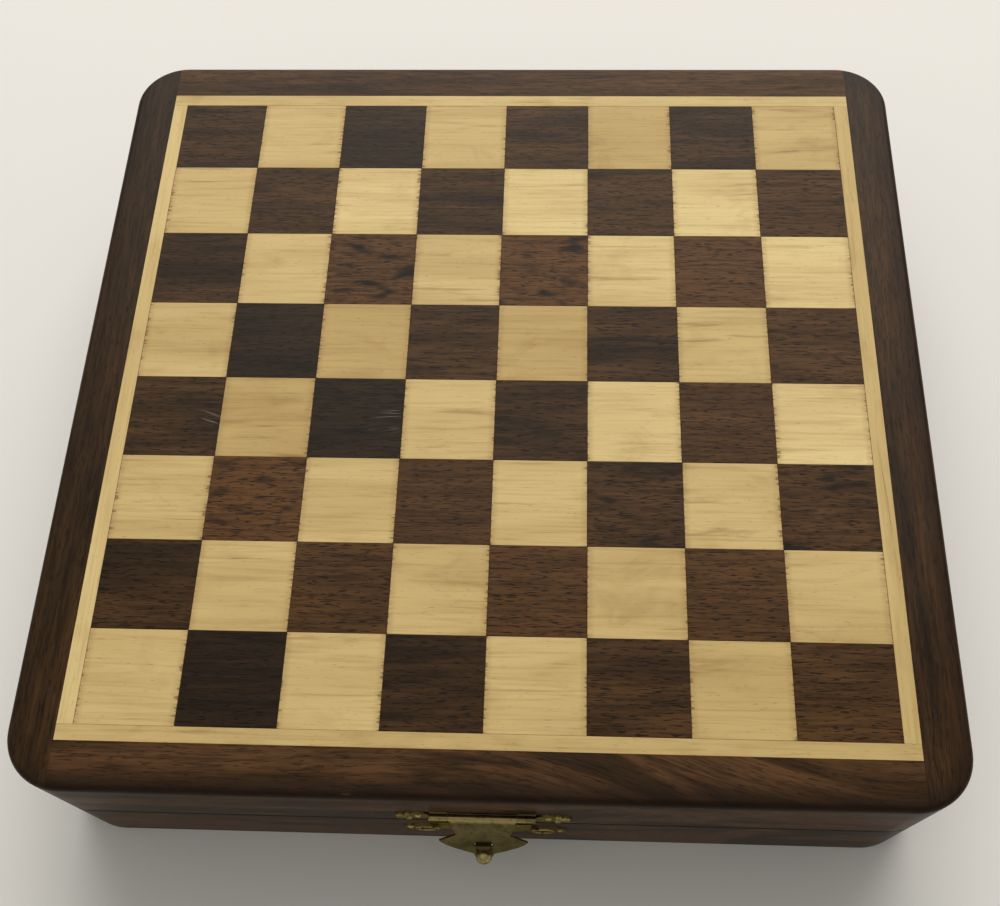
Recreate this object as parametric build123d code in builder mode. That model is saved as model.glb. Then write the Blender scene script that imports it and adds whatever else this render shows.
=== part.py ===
from build123d import *
import os
from math import asin, atan2, cos, degrees, pi, radians, sin, sqrt, tan

os.makedirs("parts", exist_ok=True)

# A flat chess box in wood. Its hinged lid is the playing board, and the men lie in a flocked tray
# in the base. A stamped brass hasp closes the front and two butt hinges carry the back.
# Millimetres. The origin is the centre of the underside, +X runs along the hasp side, +Y points
# from the hasp to the hinges, and +Z is up.

# Board and frame
square_size = 27.0
squares_per_side = 8
square_joint = 0.06
stringing_width = 4.4
rail_width = 13.2
corner_radius = 16.0
lid_height = 26.9
base_height = 26.9
seam_gap = 0.2
top_round = 2.0
seam_round = 0.35
foot_round = 0.8

# Layers of the lid, from the playing surface down
veneer_thickness = 1.5
steel_thickness = 0.5
core_thickness = 3.0
lining_thickness = 0.8
tongue_depth = 3.0
groove_gap = 0.05
lining_gap = 0.3

# Base
bottom_thickness = 3.0
bottom_rebate = 4.0
tray_thickness = 14.0
tray_floor = 1.2
tray_gap = 0.3
tray_margin = 4.0
row_wall = 4.0
slot_corner = 2.0
slot_side_gap = 0.8
slot_end_gap = 1.0
trough_margin = 6.0

# Butt hinges
hinge_offset = 70.0
hinge_length = 25.0
hinge_leaf_depth = 9.0
hinge_leaf_thickness = 0.9
hinge_recess_gap = 0.1
hinge_barrel_radius = 1.6
hinge_axis_outside = 1.9
hinge_knuckles = 5
hinge_knuckle_gap = 0.2
hinge_pin_radius = 0.7
hinge_pin_dome = 0.4
hinge_screw_spacing = 14.0
hinge_screw_inset = 4.8
screw_head_radius = 1.7
screw_shank_radius = 0.9
screw_length = 7.0
screw_slot_width = 0.4
screw_slot_depth = 0.35
running_gap = 0.05
drilled_gap = 0.05

# Hasp
hasp_sheet = 0.5
hasp_axis_above_seam = 11.5
hasp_axis_outside = 1.5
hasp_barrel_radius = 0.95
hasp_barrel_length = 28.6
hasp_pin_radius = 0.45
flap_rest_lean = 20.0
flap_half_width = 9.2
flap_waist_half_width = 7.4
flap_waist_drop = 8.5
flap_wing_half_width = 12.2
flap_wing_drop = 11.7
flap_neck_half_width = 2.8
flap_neck_drop = 18.4
flap_knob_drop = 18.2
hood_drop = 14.0
hood_top_half_width = 2.2
hood_low_half_width = 0.7
hood_half_height = 1.2
hood_rise = 0.9
hood_wall = 0.35
hood_roof = 0.4
slit_length = 2.2
slit_width = 0.9
slit_from_hood = 0.15
flap_curve_in = 1.4
flap_curve_drop = 3.0
flap_curve_out = 2.4
flap_curve_rise = 1.4
catch_radius = 0.45
catch_stand_out = 1.9
catch_round = 0.2
knuckle_gap = 0.2
knob_radius = 2.3
knob_neck_radius = 2.15
knob_shank_radius = 0.75
knob_tail_radius = 1.2
knob_tail_thickness = 0.3
top_plate_low = 1.2
top_plate_notch = 9.9
top_nail_x = 17.6
top_nail_above = 8.0
wing_root_radius = 3.4
wing_tip_x = 22.1
wing_tip_radius = 1.8
wing_lobe_x = 20.2
wing_lobe_rise = 2.2
wing_lobe_radius = 1.2
bottom_plate_high = 1.5
bottom_plate_low = 15.0
bottom_plate_half_width = 13.0
bottom_wing_below = 8.7
bottom_nail_x = 21.2
bottom_tip_radius = 1.8
pierced_x = 16.4
pierced_half_length = 2.8
pierced_half_height = 1.8
loop_half_length = 4.8
loop_half_height = 3.8
bead_half_length = 3.6
bead_half_height = 2.6
bead_round = 0.25
emboss_rise = 0.6
emboss_taper = 25.0
nail_head_radius = 1.0
nail_head_height = 0.5
nail_shank_radius = 0.5
nail_length = 6.0

# Chess men. Heights are from the underside of the foot, without the felt.
foot_radius = {"king": 9.5, "queen": 9.2, "bishop": 8.6, "knight": 8.5, "rook": 8.8, "pawn": 7.6}
man_height = {"king": 49.0, "queen": 43.0, "bishop": 37.0, "knight": 34.0, "rook": 29.0, "pawn": 25.0}
stem_radius = {"king": 3.4, "queen": 3.2, "bishop": 2.9, "knight": 5.6, "rook": 4.4, "pawn": 2.6}
collar_radius = {"king": 6.0, "queen": 5.7, "bishop": 5.0, "knight": 6.6, "rook": 6.2, "pawn": 4.7}
foot_band = 1.8
foot_moulding = 2.4
stem_hollow = 3.0
stem_swell = 0.4
collar_thickness = 2.0
king_rim_radius = 6.2
king_rim_below_top = 9.0
king_cap_radius = 1.5
king_dome_shoulder = 5.0
king_cross_height = 5.0
king_cross_span = 4.4
king_cross_bar = 1.5
queen_rim_radius = 5.9
queen_rim_below_top = 7.0
queen_bead_radius = 1.8
queen_bead_neck = 1.1
queen_dome_shoulder = 4.3
queen_notches = 8
queen_notch_radius = 1.1
cup_height = 10.0
cup_swell = 0.6
bishop_head_radius = 4.6
bishop_head_length = 12.0
bishop_bead_radius = 1.4
bishop_bead_neck = 0.85
bishop_cut_width = 1.0
bishop_cut_slant = 50.0
bishop_cut_length = 6.4
bishop_cut_below_bead = 4.8
rook_turret_radius = 6.6
rook_turret_height = 7.5
rook_wall = 2.0
rook_battlement = 2.2
rook_gap_width = 2.0
pawn_ball_radius = 4.6
magnet_radius = 3.0
magnet_height = 3.0
magnet_gap = 0.1
felt_thickness = 0.8
felt_inset = 0.4
lying_gap = 0.1

# Knight's head, forwards and upwards from the middle of the foot
knight_neck = 9.0
knight_resting_radius = 2.6
head_back = -5.6
head_front = 5.4
mane_middle = (-7.2, 17.0)
poll = (-4.6, 27.0)
ear_tip = (-2.2, 34.0)
ear_front = (0.0, 30.2)
brow = (2.6, 29.4)
nose_bridge = (5.4, 26.4)
nose_top = (7.4, 23.6)
nose_tip = (8.2, 21.8)
lip = (7.4, 19.9)
chin = (5.2, 17.9)
throat = (1.2, 20.6)
breast_middle = (5.2, 14.6)
head_plan_half_length = 9.4
head_low_half_width = 4.9
head_top_half_width = 2.2
ear_split = 1.1
ear_split_depth = 3.4
mouth_height = 0.5
mouth_depth = 2.4
nostril_place = (6.8, 22.0)
nostril_radius = 0.4
eye_place = (2.7, 26.8)
eye_radius = 0.8
eye_bead_radius = 0.4
cheek_place = (1.9, 23.0)
cheek_radius = 2.7
carved_line = 0.45
carving_depth = 0.45
mane_cuts = 6
mane_cut_radius = 0.75
mane_line_inset = 2.8

# Places worked out from the sizes above
field_half = squares_per_side * square_size / 2
inner_half = field_half + stringing_width
outer_half = inner_half + rail_width
lid_low = base_height + seam_gap
top = lid_low + lid_height
steel_top = top - veneer_thickness
core_top = steel_top - steel_thickness
core_low = core_top - core_thickness
hinge_axis_y = outer_half + hinge_axis_outside
hinge_axis_z = base_height + seam_gap / 2
tray_low = bottom_thickness
tray_top = tray_low + tray_thickness
slot_floor = tray_low + tray_floor
tray_half = inner_half - tray_gap
front_face = Plane(origin=(0, -outer_half, hinge_axis_z), x_dir=(1, 0, 0), z_dir=(0, -1, 0))
hasp_axis_y = -outer_half - hasp_axis_outside
hasp_axis_z = hinge_axis_z + hasp_axis_above_seam


def write(built, name):
    """Labels a finished piece and writes it to its file."""
    built.part.label = name
    export_step(built.part, f"parts/{name}.step")


def rounded_slab(low, high, low_round, high_round):
    """The outline of the box as a slab, with its outer edges eased."""
    with BuildSketch(Plane.XY.offset(low)) as shape:
        RectangleRounded(2 * outer_half, 2 * outer_half, corner_radius)
    extrude(shape.sketch, amount=high - low)
    fillet(edges().group_by(Axis.Z)[-1], high_round)
    fillet(edges().group_by(Axis.Z)[0], low_round)


def square_cut(half, low, high):
    """Clears a square space in the middle of the part."""
    with BuildSketch(Plane.XY.offset(low)) as shape:
        Rectangle(2 * half, 2 * half)
    extrude(shape.sketch, amount=high - low, mode=Mode.SUBTRACT)


def saw_out(side):
    """Keeps one rail of the ring: the side rails run the full depth, the others butt between them."""
    if side == "left":
        split(bisect_by=Plane.YZ.offset(-inner_half), keep=Keep.BOTTOM)
    elif side == "right":
        split(bisect_by=Plane.YZ.offset(inner_half), keep=Keep.TOP)
    else:
        split(bisect_by=Plane.YZ.offset(-inner_half), keep=Keep.TOP)
        split(bisect_by=Plane.YZ.offset(inner_half), keep=Keep.BOTTOM)
        half_kept = Keep.BOTTOM if side == "back" else Keep.TOP
        split(bisect_by=Plane.XZ, keep=half_kept)


def hinge_recess(x, up):
    """The shallow bed of one leaf, and its screw holes, cut in the rim of a back rail."""
    rim = lid_low if up > 0 else base_height
    with BuildSketch(Plane.XY.offset(rim)) as shape:
        with Locations((x, outer_half)):
            Rectangle(
                hinge_length + 2 * hinge_recess_gap,
                2 * (hinge_leaf_depth + hinge_recess_gap),
            )
    extrude(shape.sketch, amount=up * hinge_leaf_thickness, mode=Mode.SUBTRACT)
    with BuildSketch(Plane.XY.offset(rim)) as shape:
        with Locations(*screw_places(x)):
            Circle(screw_shank_radius + drilled_gap)
    extrude(shape.sketch, amount=up * (screw_length + drilled_gap), mode=Mode.SUBTRACT)


def screw_places(x):
    """Where the two screws of a leaf stand, on the rim."""
    y = outer_half - hinge_screw_inset
    return [(x - hinge_screw_spacing / 2, y), (x + hinge_screw_spacing / 2, y)]


def nail_holes(places):
    """Drills the front rail for the hasp's nails."""
    with BuildSketch(front_face) as shape:
        with Locations(*places):
            Circle(nail_shank_radius + drilled_gap)
    extrude(shape.sketch, amount=-(nail_length + drilled_gap), mode=Mode.SUBTRACT)


top_nails = [(-top_nail_x, top_nail_above), (top_nail_x, top_nail_above)]
bottom_nails = [(-bottom_nail_x, -bottom_wing_below), (bottom_nail_x, -bottom_wing_below)]

# Lid frame: four rails, grooved to hold the board's core
for side in ("left", "right", "front", "back"):
    with BuildPart() as lid_rail:
        rounded_slab(lid_low, top, seam_round, top_round)
        square_cut(inner_half, lid_low, top)
        square_cut(inner_half + tongue_depth + groove_gap, core_low - groove_gap, core_top + groove_gap)
        saw_out(side)
        if side == "front":
            nail_holes(top_nails)
        if side == "back":
            hinge_recess(-hinge_offset, 1)
            hinge_recess(hinge_offset, 1)
    write(lid_rail, f"lid_{side}_rail")

# Base frame: four rails with a rebate that takes the bottom panel flush
for side in ("left", "right", "front", "back"):
    with BuildPart() as base_rail:
        rounded_slab(0, base_height, foot_round, seam_round)
        square_cut(inner_half, 0, base_height)
        square_cut(inner_half + bottom_rebate + groove_gap, 0, bottom_thickness)
        saw_out(side)
        if side == "front":
            nail_holes(bottom_nails)
        if side == "back":
            hinge_recess(-hinge_offset, -1)
            hinge_recess(hinge_offset, -1)
    write(base_rail, f"base_{side}_rail")

# Core of the board, a panel with its edges in the rails' grooves
with BuildPart() as board_core:
    with BuildSketch(Plane.XY.offset(core_low)):
        Rectangle(2 * (inner_half + tongue_depth), 2 * (inner_half + tongue_depth))
    extrude(amount=core_thickness)
write(board_core, "board_core")

# Steel sheet under the squares, which holds the men's magnets
with BuildPart() as steel_sheet:
    with BuildSketch(Plane.XY.offset(core_top)):
        Rectangle(2 * field_half - square_joint, 2 * field_half - square_joint)
    extrude(amount=steel_thickness)
write(steel_sheet, "steel_sheet")

# Inlaid squares. The far left one is dark, and the colours alternate from there.
for colour, first in (("dark", 1), ("light", 0)):
    places = [
        ((column + 0.5) * square_size - field_half, (row + 0.5) * square_size - field_half)
        for row in range(squares_per_side)
        for column in range(squares_per_side)
        if (row + column) % 2 == first
    ]
    with BuildPart() as squares:
        with BuildSketch(Plane.XY.offset(steel_top)):
            with Locations(*places):
                Rectangle(square_size - square_joint, square_size - square_joint)
        extrude(amount=veneer_thickness)
    write(squares, f"{colour}_squares")

# Stringing: the front and back strips run the full width, the side strips fit between them
strip_centre = field_half + stringing_width / 2
for side, x, y, width, depth in (
    ("front", 0, -strip_centre, 2 * inner_half, stringing_width),
    ("back", 0, strip_centre, 2 * inner_half, stringing_width),
    ("left", -strip_centre, 0, stringing_width, 2 * field_half),
    ("right", strip_centre, 0, stringing_width, 2 * field_half),
):
    with BuildPart() as strip:
        with BuildSketch(Plane.XY.offset(core_top)):
            with Locations((x, y)):
                Rectangle(width - square_joint, depth - square_joint)
        extrude(amount=top - core_top)
    write(strip, f"{side}_stringing")

# Cloth lining inside the lid
with BuildPart() as lid_lining:
    with BuildSketch(Plane.XY.offset(core_low)):
        Rectangle(2 * (inner_half - lining_gap), 2 * (inner_half - lining_gap))
    extrude(amount=-lining_thickness)
write(lid_lining, "lid_lining")

# Bottom panel, flush with the underside of the rails
with BuildPart() as bottom_panel:
    with BuildSketch():
        Rectangle(2 * (inner_half + bottom_rebate), 2 * (inner_half + bottom_rebate))
    extrude(amount=bottom_thickness)
write(bottom_panel, "bottom_panel")


def hinge_leaf(x, up, own_knuckles):
    """One leaf of a butt hinge with its share of the barrel, flush with the rim it is let into."""
    rim = lid_low if up > 0 else base_height
    pitch = hinge_length / hinge_knuckles
    with BuildSketch(Plane.XY.offset(rim)) as shape:
        with Locations((x, outer_half)):
            Rectangle(hinge_length, hinge_leaf_depth, align=(Align.CENTER, Align.MAX))
    extrude(shape.sketch, amount=up * hinge_leaf_thickness)
    for knuckle in own_knuckles:
        start = x - hinge_length / 2 + knuckle * pitch + hinge_knuckle_gap / 2
        width = pitch - hinge_knuckle_gap
        with BuildSketch(Plane.XY.offset(rim)) as shape:
            with Locations((start, outer_half)):
                Rectangle(width, hinge_axis_outside, align=(Align.MIN, Align.MIN))
        extrude(shape.sketch, amount=up * hinge_leaf_thickness)
        with BuildSketch(Plane(origin=(start, hinge_axis_y, hinge_axis_z), z_dir=(1, 0, 0))) as shape:
            Circle(hinge_barrel_radius)
        extrude(shape.sketch, amount=width)
    with BuildSketch(Plane(origin=(x, hinge_axis_y, hinge_axis_z), z_dir=(1, 0, 0))) as shape:
        Circle(hinge_pin_radius + running_gap)
    extrude(shape.sketch, amount=hinge_length, both=True, mode=Mode.SUBTRACT)
    with BuildSketch(Plane.XY.offset(rim)) as shape:
        with Locations(*screw_places(x)):
            Circle(screw_head_radius + drilled_gap)
    countersink = screw_head_radius - screw_shank_radius
    extrude(shape.sketch, amount=up * countersink, taper=45, mode=Mode.SUBTRACT)
    with BuildSketch(Plane.XY.offset(rim)) as shape:
        with Locations(*screw_places(x)):
            Circle(screw_shank_radius + drilled_gap)
    extrude(shape.sketch, amount=up * hinge_leaf_thickness, mode=Mode.SUBTRACT)


# Butt hinges: the base leaf has the odd knuckles of the barrel and the lid leaf the even ones
for side, x in (("left", -hinge_offset), ("right", hinge_offset)):
    with BuildPart() as base_leaf:
        hinge_leaf(x, -1, range(0, hinge_knuckles, 2))
    write(base_leaf, f"{side}_hinge_base_leaf")
    with BuildPart() as lid_leaf:
        hinge_leaf(x, 1, range(1, hinge_knuckles, 2))
    write(lid_leaf, f"{side}_hinge_lid_leaf")
    with BuildPart() as hinge_pin:
        pin_end = x - hinge_length / 2 - hinge_pin_dome
        with BuildSketch(Plane(origin=(pin_end, hinge_axis_y, hinge_axis_z), z_dir=(1, 0, 0))):
            Circle(hinge_pin_radius)
        extrude(amount=hinge_length + 2 * hinge_pin_dome)
        chamfer(edges().group_by(Axis.X)[0] + edges().group_by(Axis.X)[-1], hinge_pin_dome / 2)
    write(hinge_pin, f"{side}_hinge_pin")


def countersunk_screws(up):
    """The four screws of the two leaves on one rim, heads flush and slotted."""
    rim = lid_low if up > 0 else base_height
    countersink = screw_head_radius - screw_shank_radius
    places = screw_places(-hinge_offset) + screw_places(hinge_offset)
    with BuildSketch(Plane.XY.offset(rim)) as shape:
        with Locations(*places):
            Circle(screw_head_radius)
    extrude(shape.sketch, amount=up * countersink, taper=45)
    with BuildSketch(Plane.XY.offset(rim + up * countersink / 2)) as shape:
        with Locations(*places):
            Circle(screw_shank_radius)
    extrude(shape.sketch, amount=up * (screw_length - countersink / 2))
    with BuildSketch(Plane.XY.offset(rim)) as shape:
        with Locations(*places):
            Rectangle(2 * screw_head_radius, screw_slot_width)
    extrude(shape.sketch, amount=up * screw_slot_depth, mode=Mode.SUBTRACT)


with BuildPart() as lid_screws:
    countersunk_screws(1)
write(lid_screws, "hinge_lid_screws")

with BuildPart() as base_screws:
    countersunk_screws(-1)
write(base_screws, "hinge_base_screws")


def hasp_barrel(low_x, high_x):
    """A rolled knuckle of the hasp round its pin."""
    with BuildSketch(Plane(origin=(low_x, hasp_axis_y, hasp_axis_z), z_dir=(1, 0, 0))) as shape:
        Circle(hasp_barrel_radius)
    extrude(shape.sketch, amount=high_x - low_x)


def hasp_bore():
    """Clears the pin's way through the knuckles."""
    with BuildSketch(Plane(origin=(0, hasp_axis_y, hasp_axis_z), z_dir=(1, 0, 0))) as shape:
        Circle(hasp_pin_radius + running_gap)
    extrude(shape.sketch, amount=hasp_barrel_length, both=True, mode=Mode.SUBTRACT)


# Top plate of the hasp: stamped sheet with a lobed wing each side, rolled forwards into two knuckles
barrel_half = hasp_barrel_length / 2
with BuildPart() as hasp_top_plate:
    with BuildSketch(front_face):
        with Locations((0, top_plate_low)):
            Rectangle(
                2 * barrel_half,
                hasp_axis_above_seam - top_plate_low,
                align=(Align.CENTER, Align.MIN),
            )
        with Locations((0, top_plate_notch)):
            Rectangle(
                2 * (flap_half_width + 2 * knuckle_gap),
                hasp_axis_above_seam,
                align=(Align.CENTER, Align.MIN),
                mode=Mode.SUBTRACT,
            )
        with Locations((top_nail_x, top_nail_above), (-top_nail_x, top_nail_above)):
            Circle(wing_root_radius)
        with Locations((wing_tip_x, top_nail_above), (-wing_tip_x, top_nail_above)):
            Circle(wing_tip_radius)
        with Locations((0, top_nail_above)):
            with GridLocations(2 * wing_lobe_x, 2 * wing_lobe_rise, 2, 2):
                Circle(wing_lobe_radius)
        with Locations(*top_nails):
            Circle(nail_shank_radius + drilled_gap, mode=Mode.SUBTRACT)
    extrude(amount=hasp_sheet)
    with BuildSketch(front_face):
        with Locations((wing_tip_x, top_nail_above), (-wing_tip_x, top_nail_above)):
            Circle(wing_tip_radius)
    extrude(amount=hasp_sheet + emboss_rise, taper=emboss_taper)
    with BuildSketch(front_face):
        with Locations((0, top_nail_above)):
            with GridLocations(2 * wing_lobe_x, 2 * wing_lobe_rise, 2, 2):
                Circle(wing_lobe_radius)
    extrude(amount=hasp_sheet + emboss_rise, taper=emboss_taper)
    knuckle_centre = (barrel_half + flap_half_width + knuckle_gap) / 2
    knuckle_length = barrel_half - flap_half_width - knuckle_gap
    with BuildSketch(Plane.XY.offset(hasp_axis_z - hasp_barrel_radius)):
        with GridLocations(2 * knuckle_centre, 0, 2, 1):
            with Locations((0, -outer_half)):
                Rectangle(knuckle_length, hasp_axis_outside, align=(Align.CENTER, Align.MAX))
    extrude(amount=hasp_sheet)
    hasp_barrel(-barrel_half, -flap_half_width - knuckle_gap)
    hasp_barrel(flap_half_width + knuckle_gap, barrel_half)
    hasp_bore()
write(hasp_top_plate, "hasp_top_plate")

# Pin of the hasp
with BuildPart() as hasp_pin:
    with BuildSketch(Plane(origin=(-barrel_half, hasp_axis_y, hasp_axis_z), z_dir=(1, 0, 0))):
        Circle(hasp_pin_radius)
    extrude(amount=hasp_barrel_length)
write(hasp_pin, "hasp_pin")

# Flap of the hasp. It hangs a little off the box, so its own plane leans outwards from the pin.
hood_slant = atan2(hood_top_half_width - hood_low_half_width, 2 * hood_half_height)
slit_from_middle = slit_from_hood + slit_width / 2
slit_x = (hood_top_half_width + hood_low_half_width) / 2 + slit_from_middle / cos(hood_slant)


def hood_face(plane, wall):
    """The outline of the pressed hood that goes over the catch, a wall's thickness in from its outside."""
    side_wall = wall / cos(hood_slant)
    lost_slant = wall * tan(hood_slant)
    top_half = hood_top_half_width - side_wall - lost_slant
    low_half = hood_low_half_width - side_wall + lost_slant
    high = hood_half_height - wall
    with BuildSketch(plane) as shape:
        with BuildLine():
            Polyline(
                (-top_half, high - hood_drop),
                (top_half, high - hood_drop),
                (low_half, -high - hood_drop),
                (-low_half, -high - hood_drop),
                close=True,
            )
        make_face()
    return shape.sketch


flap_lean = radians(flap_rest_lean)
flap_plane = Plane(
    origin=(0, hasp_axis_y, hasp_axis_z),
    x_dir=(1, 0, 0),
    z_dir=(0, -cos(flap_lean), sin(flap_lean)),
)
with BuildPart() as hasp_flap:
    with BuildSketch(flap_plane):
        with BuildLine():
            side = Polyline(
                (0, 0),
                (flap_half_width, 0),
                (flap_waist_half_width, -flap_waist_drop),
                (flap_wing_half_width, -flap_wing_drop),
            )
            sweep_in = Bezier(
                side @ 1,
                (flap_wing_half_width - flap_curve_in, -flap_wing_drop - flap_curve_drop),
                (flap_neck_half_width + flap_curve_out, -flap_neck_drop + flap_curve_rise),
                (flap_neck_half_width, -flap_neck_drop),
            )
            tip = ThreePointArc(
                sweep_in @ 1,
                (flap_neck_half_width * cos(pi / 4), -flap_neck_drop - flap_neck_half_width * sin(pi / 4)),
                (0, -flap_neck_drop - flap_neck_half_width),
            )
            Line(tip @ 1, (0, 0))
        make_face()
        mirror(about=Plane.YZ)
        with Locations((0, -flap_knob_drop)):
            Circle(knob_shank_radius + drilled_gap, mode=Mode.SUBTRACT)
    extrude(amount=hasp_sheet / 2, both=True)
    hood = hood_face(flap_plane, 0)
    extrude(hood, amount=hasp_sheet / 2 + hood_rise)
    hollow = hood_face(flap_plane.offset(-hasp_sheet), hood_wall)
    extrude(hollow, amount=3 * hasp_sheet / 2 + hood_rise - hood_roof, mode=Mode.SUBTRACT)
    with BuildSketch(flap_plane):
        for way in (-1, 1):
            with Locations(Location((way * slit_x, -hood_drop), -way * degrees(hood_slant))):
                Rectangle(slit_width, slit_length)
    extrude(amount=hasp_sheet, both=True, mode=Mode.SUBTRACT)
    hasp_barrel(-flap_half_width, flap_half_width)
    hasp_bore()
write(hasp_flap, "hasp_flap")

# Knob of the flap, a turned ball on a short neck, riveted through the sheet
knob_centre = hasp_sheet / 2 + sqrt(knob_radius**2 - knob_neck_radius**2)
knob_plane = Plane(
    origin=flap_plane.from_local_coords((0, -flap_knob_drop, 0)),
    x_dir=(1, 0, 0),
    z_dir=-flap_plane.y_dir,
)
with BuildPart() as hasp_knob:
    with BuildSketch(knob_plane):
        with BuildLine():
            back = -hasp_sheet / 2
            stem = Polyline(
                (0, back - knob_tail_thickness),
                (knob_tail_radius, back - knob_tail_thickness),
                (knob_tail_radius, back),
                (knob_shank_radius, back),
                (knob_shank_radius, -back),
                (knob_neck_radius, -back),
            )
            ThreePointArc(
                stem @ 1,
                (knob_radius, knob_centre),
                (0, knob_centre + knob_radius),
            )
            Line((0, knob_centre + knob_radius), stem @ 0)
        make_face()
    revolve(axis=Axis(knob_plane.origin, knob_plane.y_dir))
write(hasp_knob, "hasp_knob")

# Bottom plate of the hasp: stamped sheet with pierced wings, and the catch that the flap's hood goes over
with BuildPart() as hasp_bottom_plate:
    with BuildSketch(front_face):
        with BuildLine():
            half = bottom_plate_half_width
            upper = Polyline(
                (half, -bottom_wing_below),
                (half, -bottom_plate_high),
                (-half, -bottom_plate_high),
                (-half, -bottom_wing_below),
            )
            ThreePointArc(upper @ 1, (0, -bottom_plate_low), upper @ 0)
        make_face()
        for way in (-1, 1):
            with Locations((way * pierced_x, -bottom_wing_below)):
                Ellipse(loop_half_length, loop_half_height)
            with Locations((way * bottom_nail_x, -bottom_wing_below)):
                Circle(bottom_tip_radius)
            with Locations((way * pierced_x, -bottom_wing_below)):
                Ellipse(pierced_half_length, pierced_half_height, mode=Mode.SUBTRACT)
        with Locations(*bottom_nails):
            Circle(nail_shank_radius + drilled_gap, mode=Mode.SUBTRACT)
    extrude(amount=hasp_sheet)
    with BuildSketch(front_face):
        with Locations((pierced_x, -bottom_wing_below), (-pierced_x, -bottom_wing_below)):
            Ellipse(bead_half_length, bead_half_height)
            Ellipse(pierced_half_length, pierced_half_height, mode=Mode.SUBTRACT)
    extrude(amount=hasp_sheet + emboss_rise)
    fillet(edges().group_by(Axis.Y)[0], bead_round)
    catch_below = hood_drop - hasp_axis_above_seam
    with BuildSketch(front_face):
        with Locations((0, -catch_below)):
            Circle(catch_radius)
    extrude(amount=catch_stand_out)
    fillet(edges().group_by(Axis.Y)[0], catch_round)
write(hasp_bottom_plate, "hasp_bottom_plate")


def round_head_nails(places):
    """Round-headed nails, driven through a plate into the rail."""
    head_top = hasp_sheet + nail_head_height
    dome_radius = (nail_head_radius**2 + nail_head_height**2) / (2 * nail_head_height)
    half_turn = asin(nail_head_radius / dome_radius) / 2
    dome_middle = (dome_radius * sin(half_turn), head_top - dome_radius * (1 - cos(half_turn)))
    for x, z in places:
        section = Plane(origin=front_face.from_local_coords((x, z, 0)), x_dir=(1, 0, 0), z_dir=(0, 0, -1))
        with BuildSketch(section) as shape:
            with BuildLine():
                shank = Polyline(
                    (0, -nail_length),
                    (nail_shank_radius, -nail_length),
                    (nail_shank_radius, hasp_sheet),
                    (nail_head_radius, hasp_sheet),
                )
                dome = ThreePointArc(shank @ 1, dome_middle, (0, head_top))
                Line(dome @ 1, shank @ 0)
            make_face()
        revolve(shape.sketch, axis=Axis(section.origin, section.y_dir))


with BuildPart() as lid_nails:
    round_head_nails(top_nails)
write(lid_nails, "hasp_lid_nails")

with BuildPart() as base_nails:
    round_head_nails(bottom_nails)
write(base_nails, "hasp_base_nails")


def turned_foot(kind, stem_top):
    """Half outline of a man's foot and hollow stem, up the man's axis from the underside."""
    moulding_end = foot_band + foot_moulding
    edge = Polyline((0, 0), (0, foot_radius[kind]), (foot_band, foot_radius[kind]))
    moulding = TangentArc(
        edge @ 1,
        (moulding_end, foot_radius[kind] - foot_moulding),
        tangent=(1, 0),
    )
    return Bezier(
        moulding @ 1,
        (moulding_end + stem_hollow, stem_radius[kind] + stem_swell),
        (stem_top, stem_radius[kind]),
    )


def turned_collar(kind, start, inner):
    """A sharp-edged ring between the stem and the head."""
    return Polyline(
        start,
        (start.X + collar_thickness / 2, collar_radius[kind]),
        (start.X + collar_thickness, inner),
    )


def under_bead(height, bead_radius, bead_neck):
    """How far up a man's axis the ball on its very top meets the neck below it."""
    return height - bead_radius - sqrt(bead_radius**2 - bead_neck**2)


def pawn_outline():
    height = man_height["pawn"]
    ball_centre = height - pawn_ball_radius
    ball_start = ball_centre - sqrt(pawn_ball_radius**2 - stem_radius["pawn"] ** 2)
    stem = turned_foot("pawn", ball_start - collar_thickness)
    ring = turned_collar("pawn", stem @ 1, stem_radius["pawn"])
    ball = ThreePointArc(ring @ 1, (ball_centre, pawn_ball_radius), (height, 0))
    Line(ball @ 1, (0, 0))


def rook_outline():
    height = man_height["rook"]
    turret_low = height - rook_turret_height
    bore = rook_turret_radius - rook_wall
    stem = turned_foot("rook", turret_low - 2 * collar_thickness)
    ring = turned_collar("rook", stem @ 1, stem_radius["rook"])
    flare = Line(ring @ 1, (turret_low, rook_turret_radius))
    turret = Polyline(
        flare @ 1,
        (height, rook_turret_radius),
        (height, bore),
        (height - rook_battlement, bore),
        (height - rook_battlement, 0),
    )
    Line(turret @ 1, (0, 0))


def bishop_outline():
    height = man_height["bishop"]
    head_end = under_bead(height, bishop_bead_radius, bishop_bead_neck)
    head_start = head_end - bishop_head_length
    stem = turned_foot("bishop", head_start - collar_thickness)
    ring = turned_collar("bishop", stem @ 1, stem_radius["bishop"])
    widest = head_start + bishop_head_length / 3
    swell = Bezier(
        ring @ 1,
        (head_start + bishop_head_length / 6, bishop_head_radius),
        (widest, bishop_head_radius),
    )
    mitre = Bezier(
        swell @ 1,
        (widest + bishop_head_length / 3, bishop_head_radius),
        (head_end, bishop_bead_neck),
    )
    bead = ThreePointArc(
        mitre @ 1,
        (height - bishop_bead_radius, bishop_bead_radius),
        (height, 0),
    )
    Line(bead @ 1, (0, 0))


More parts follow.
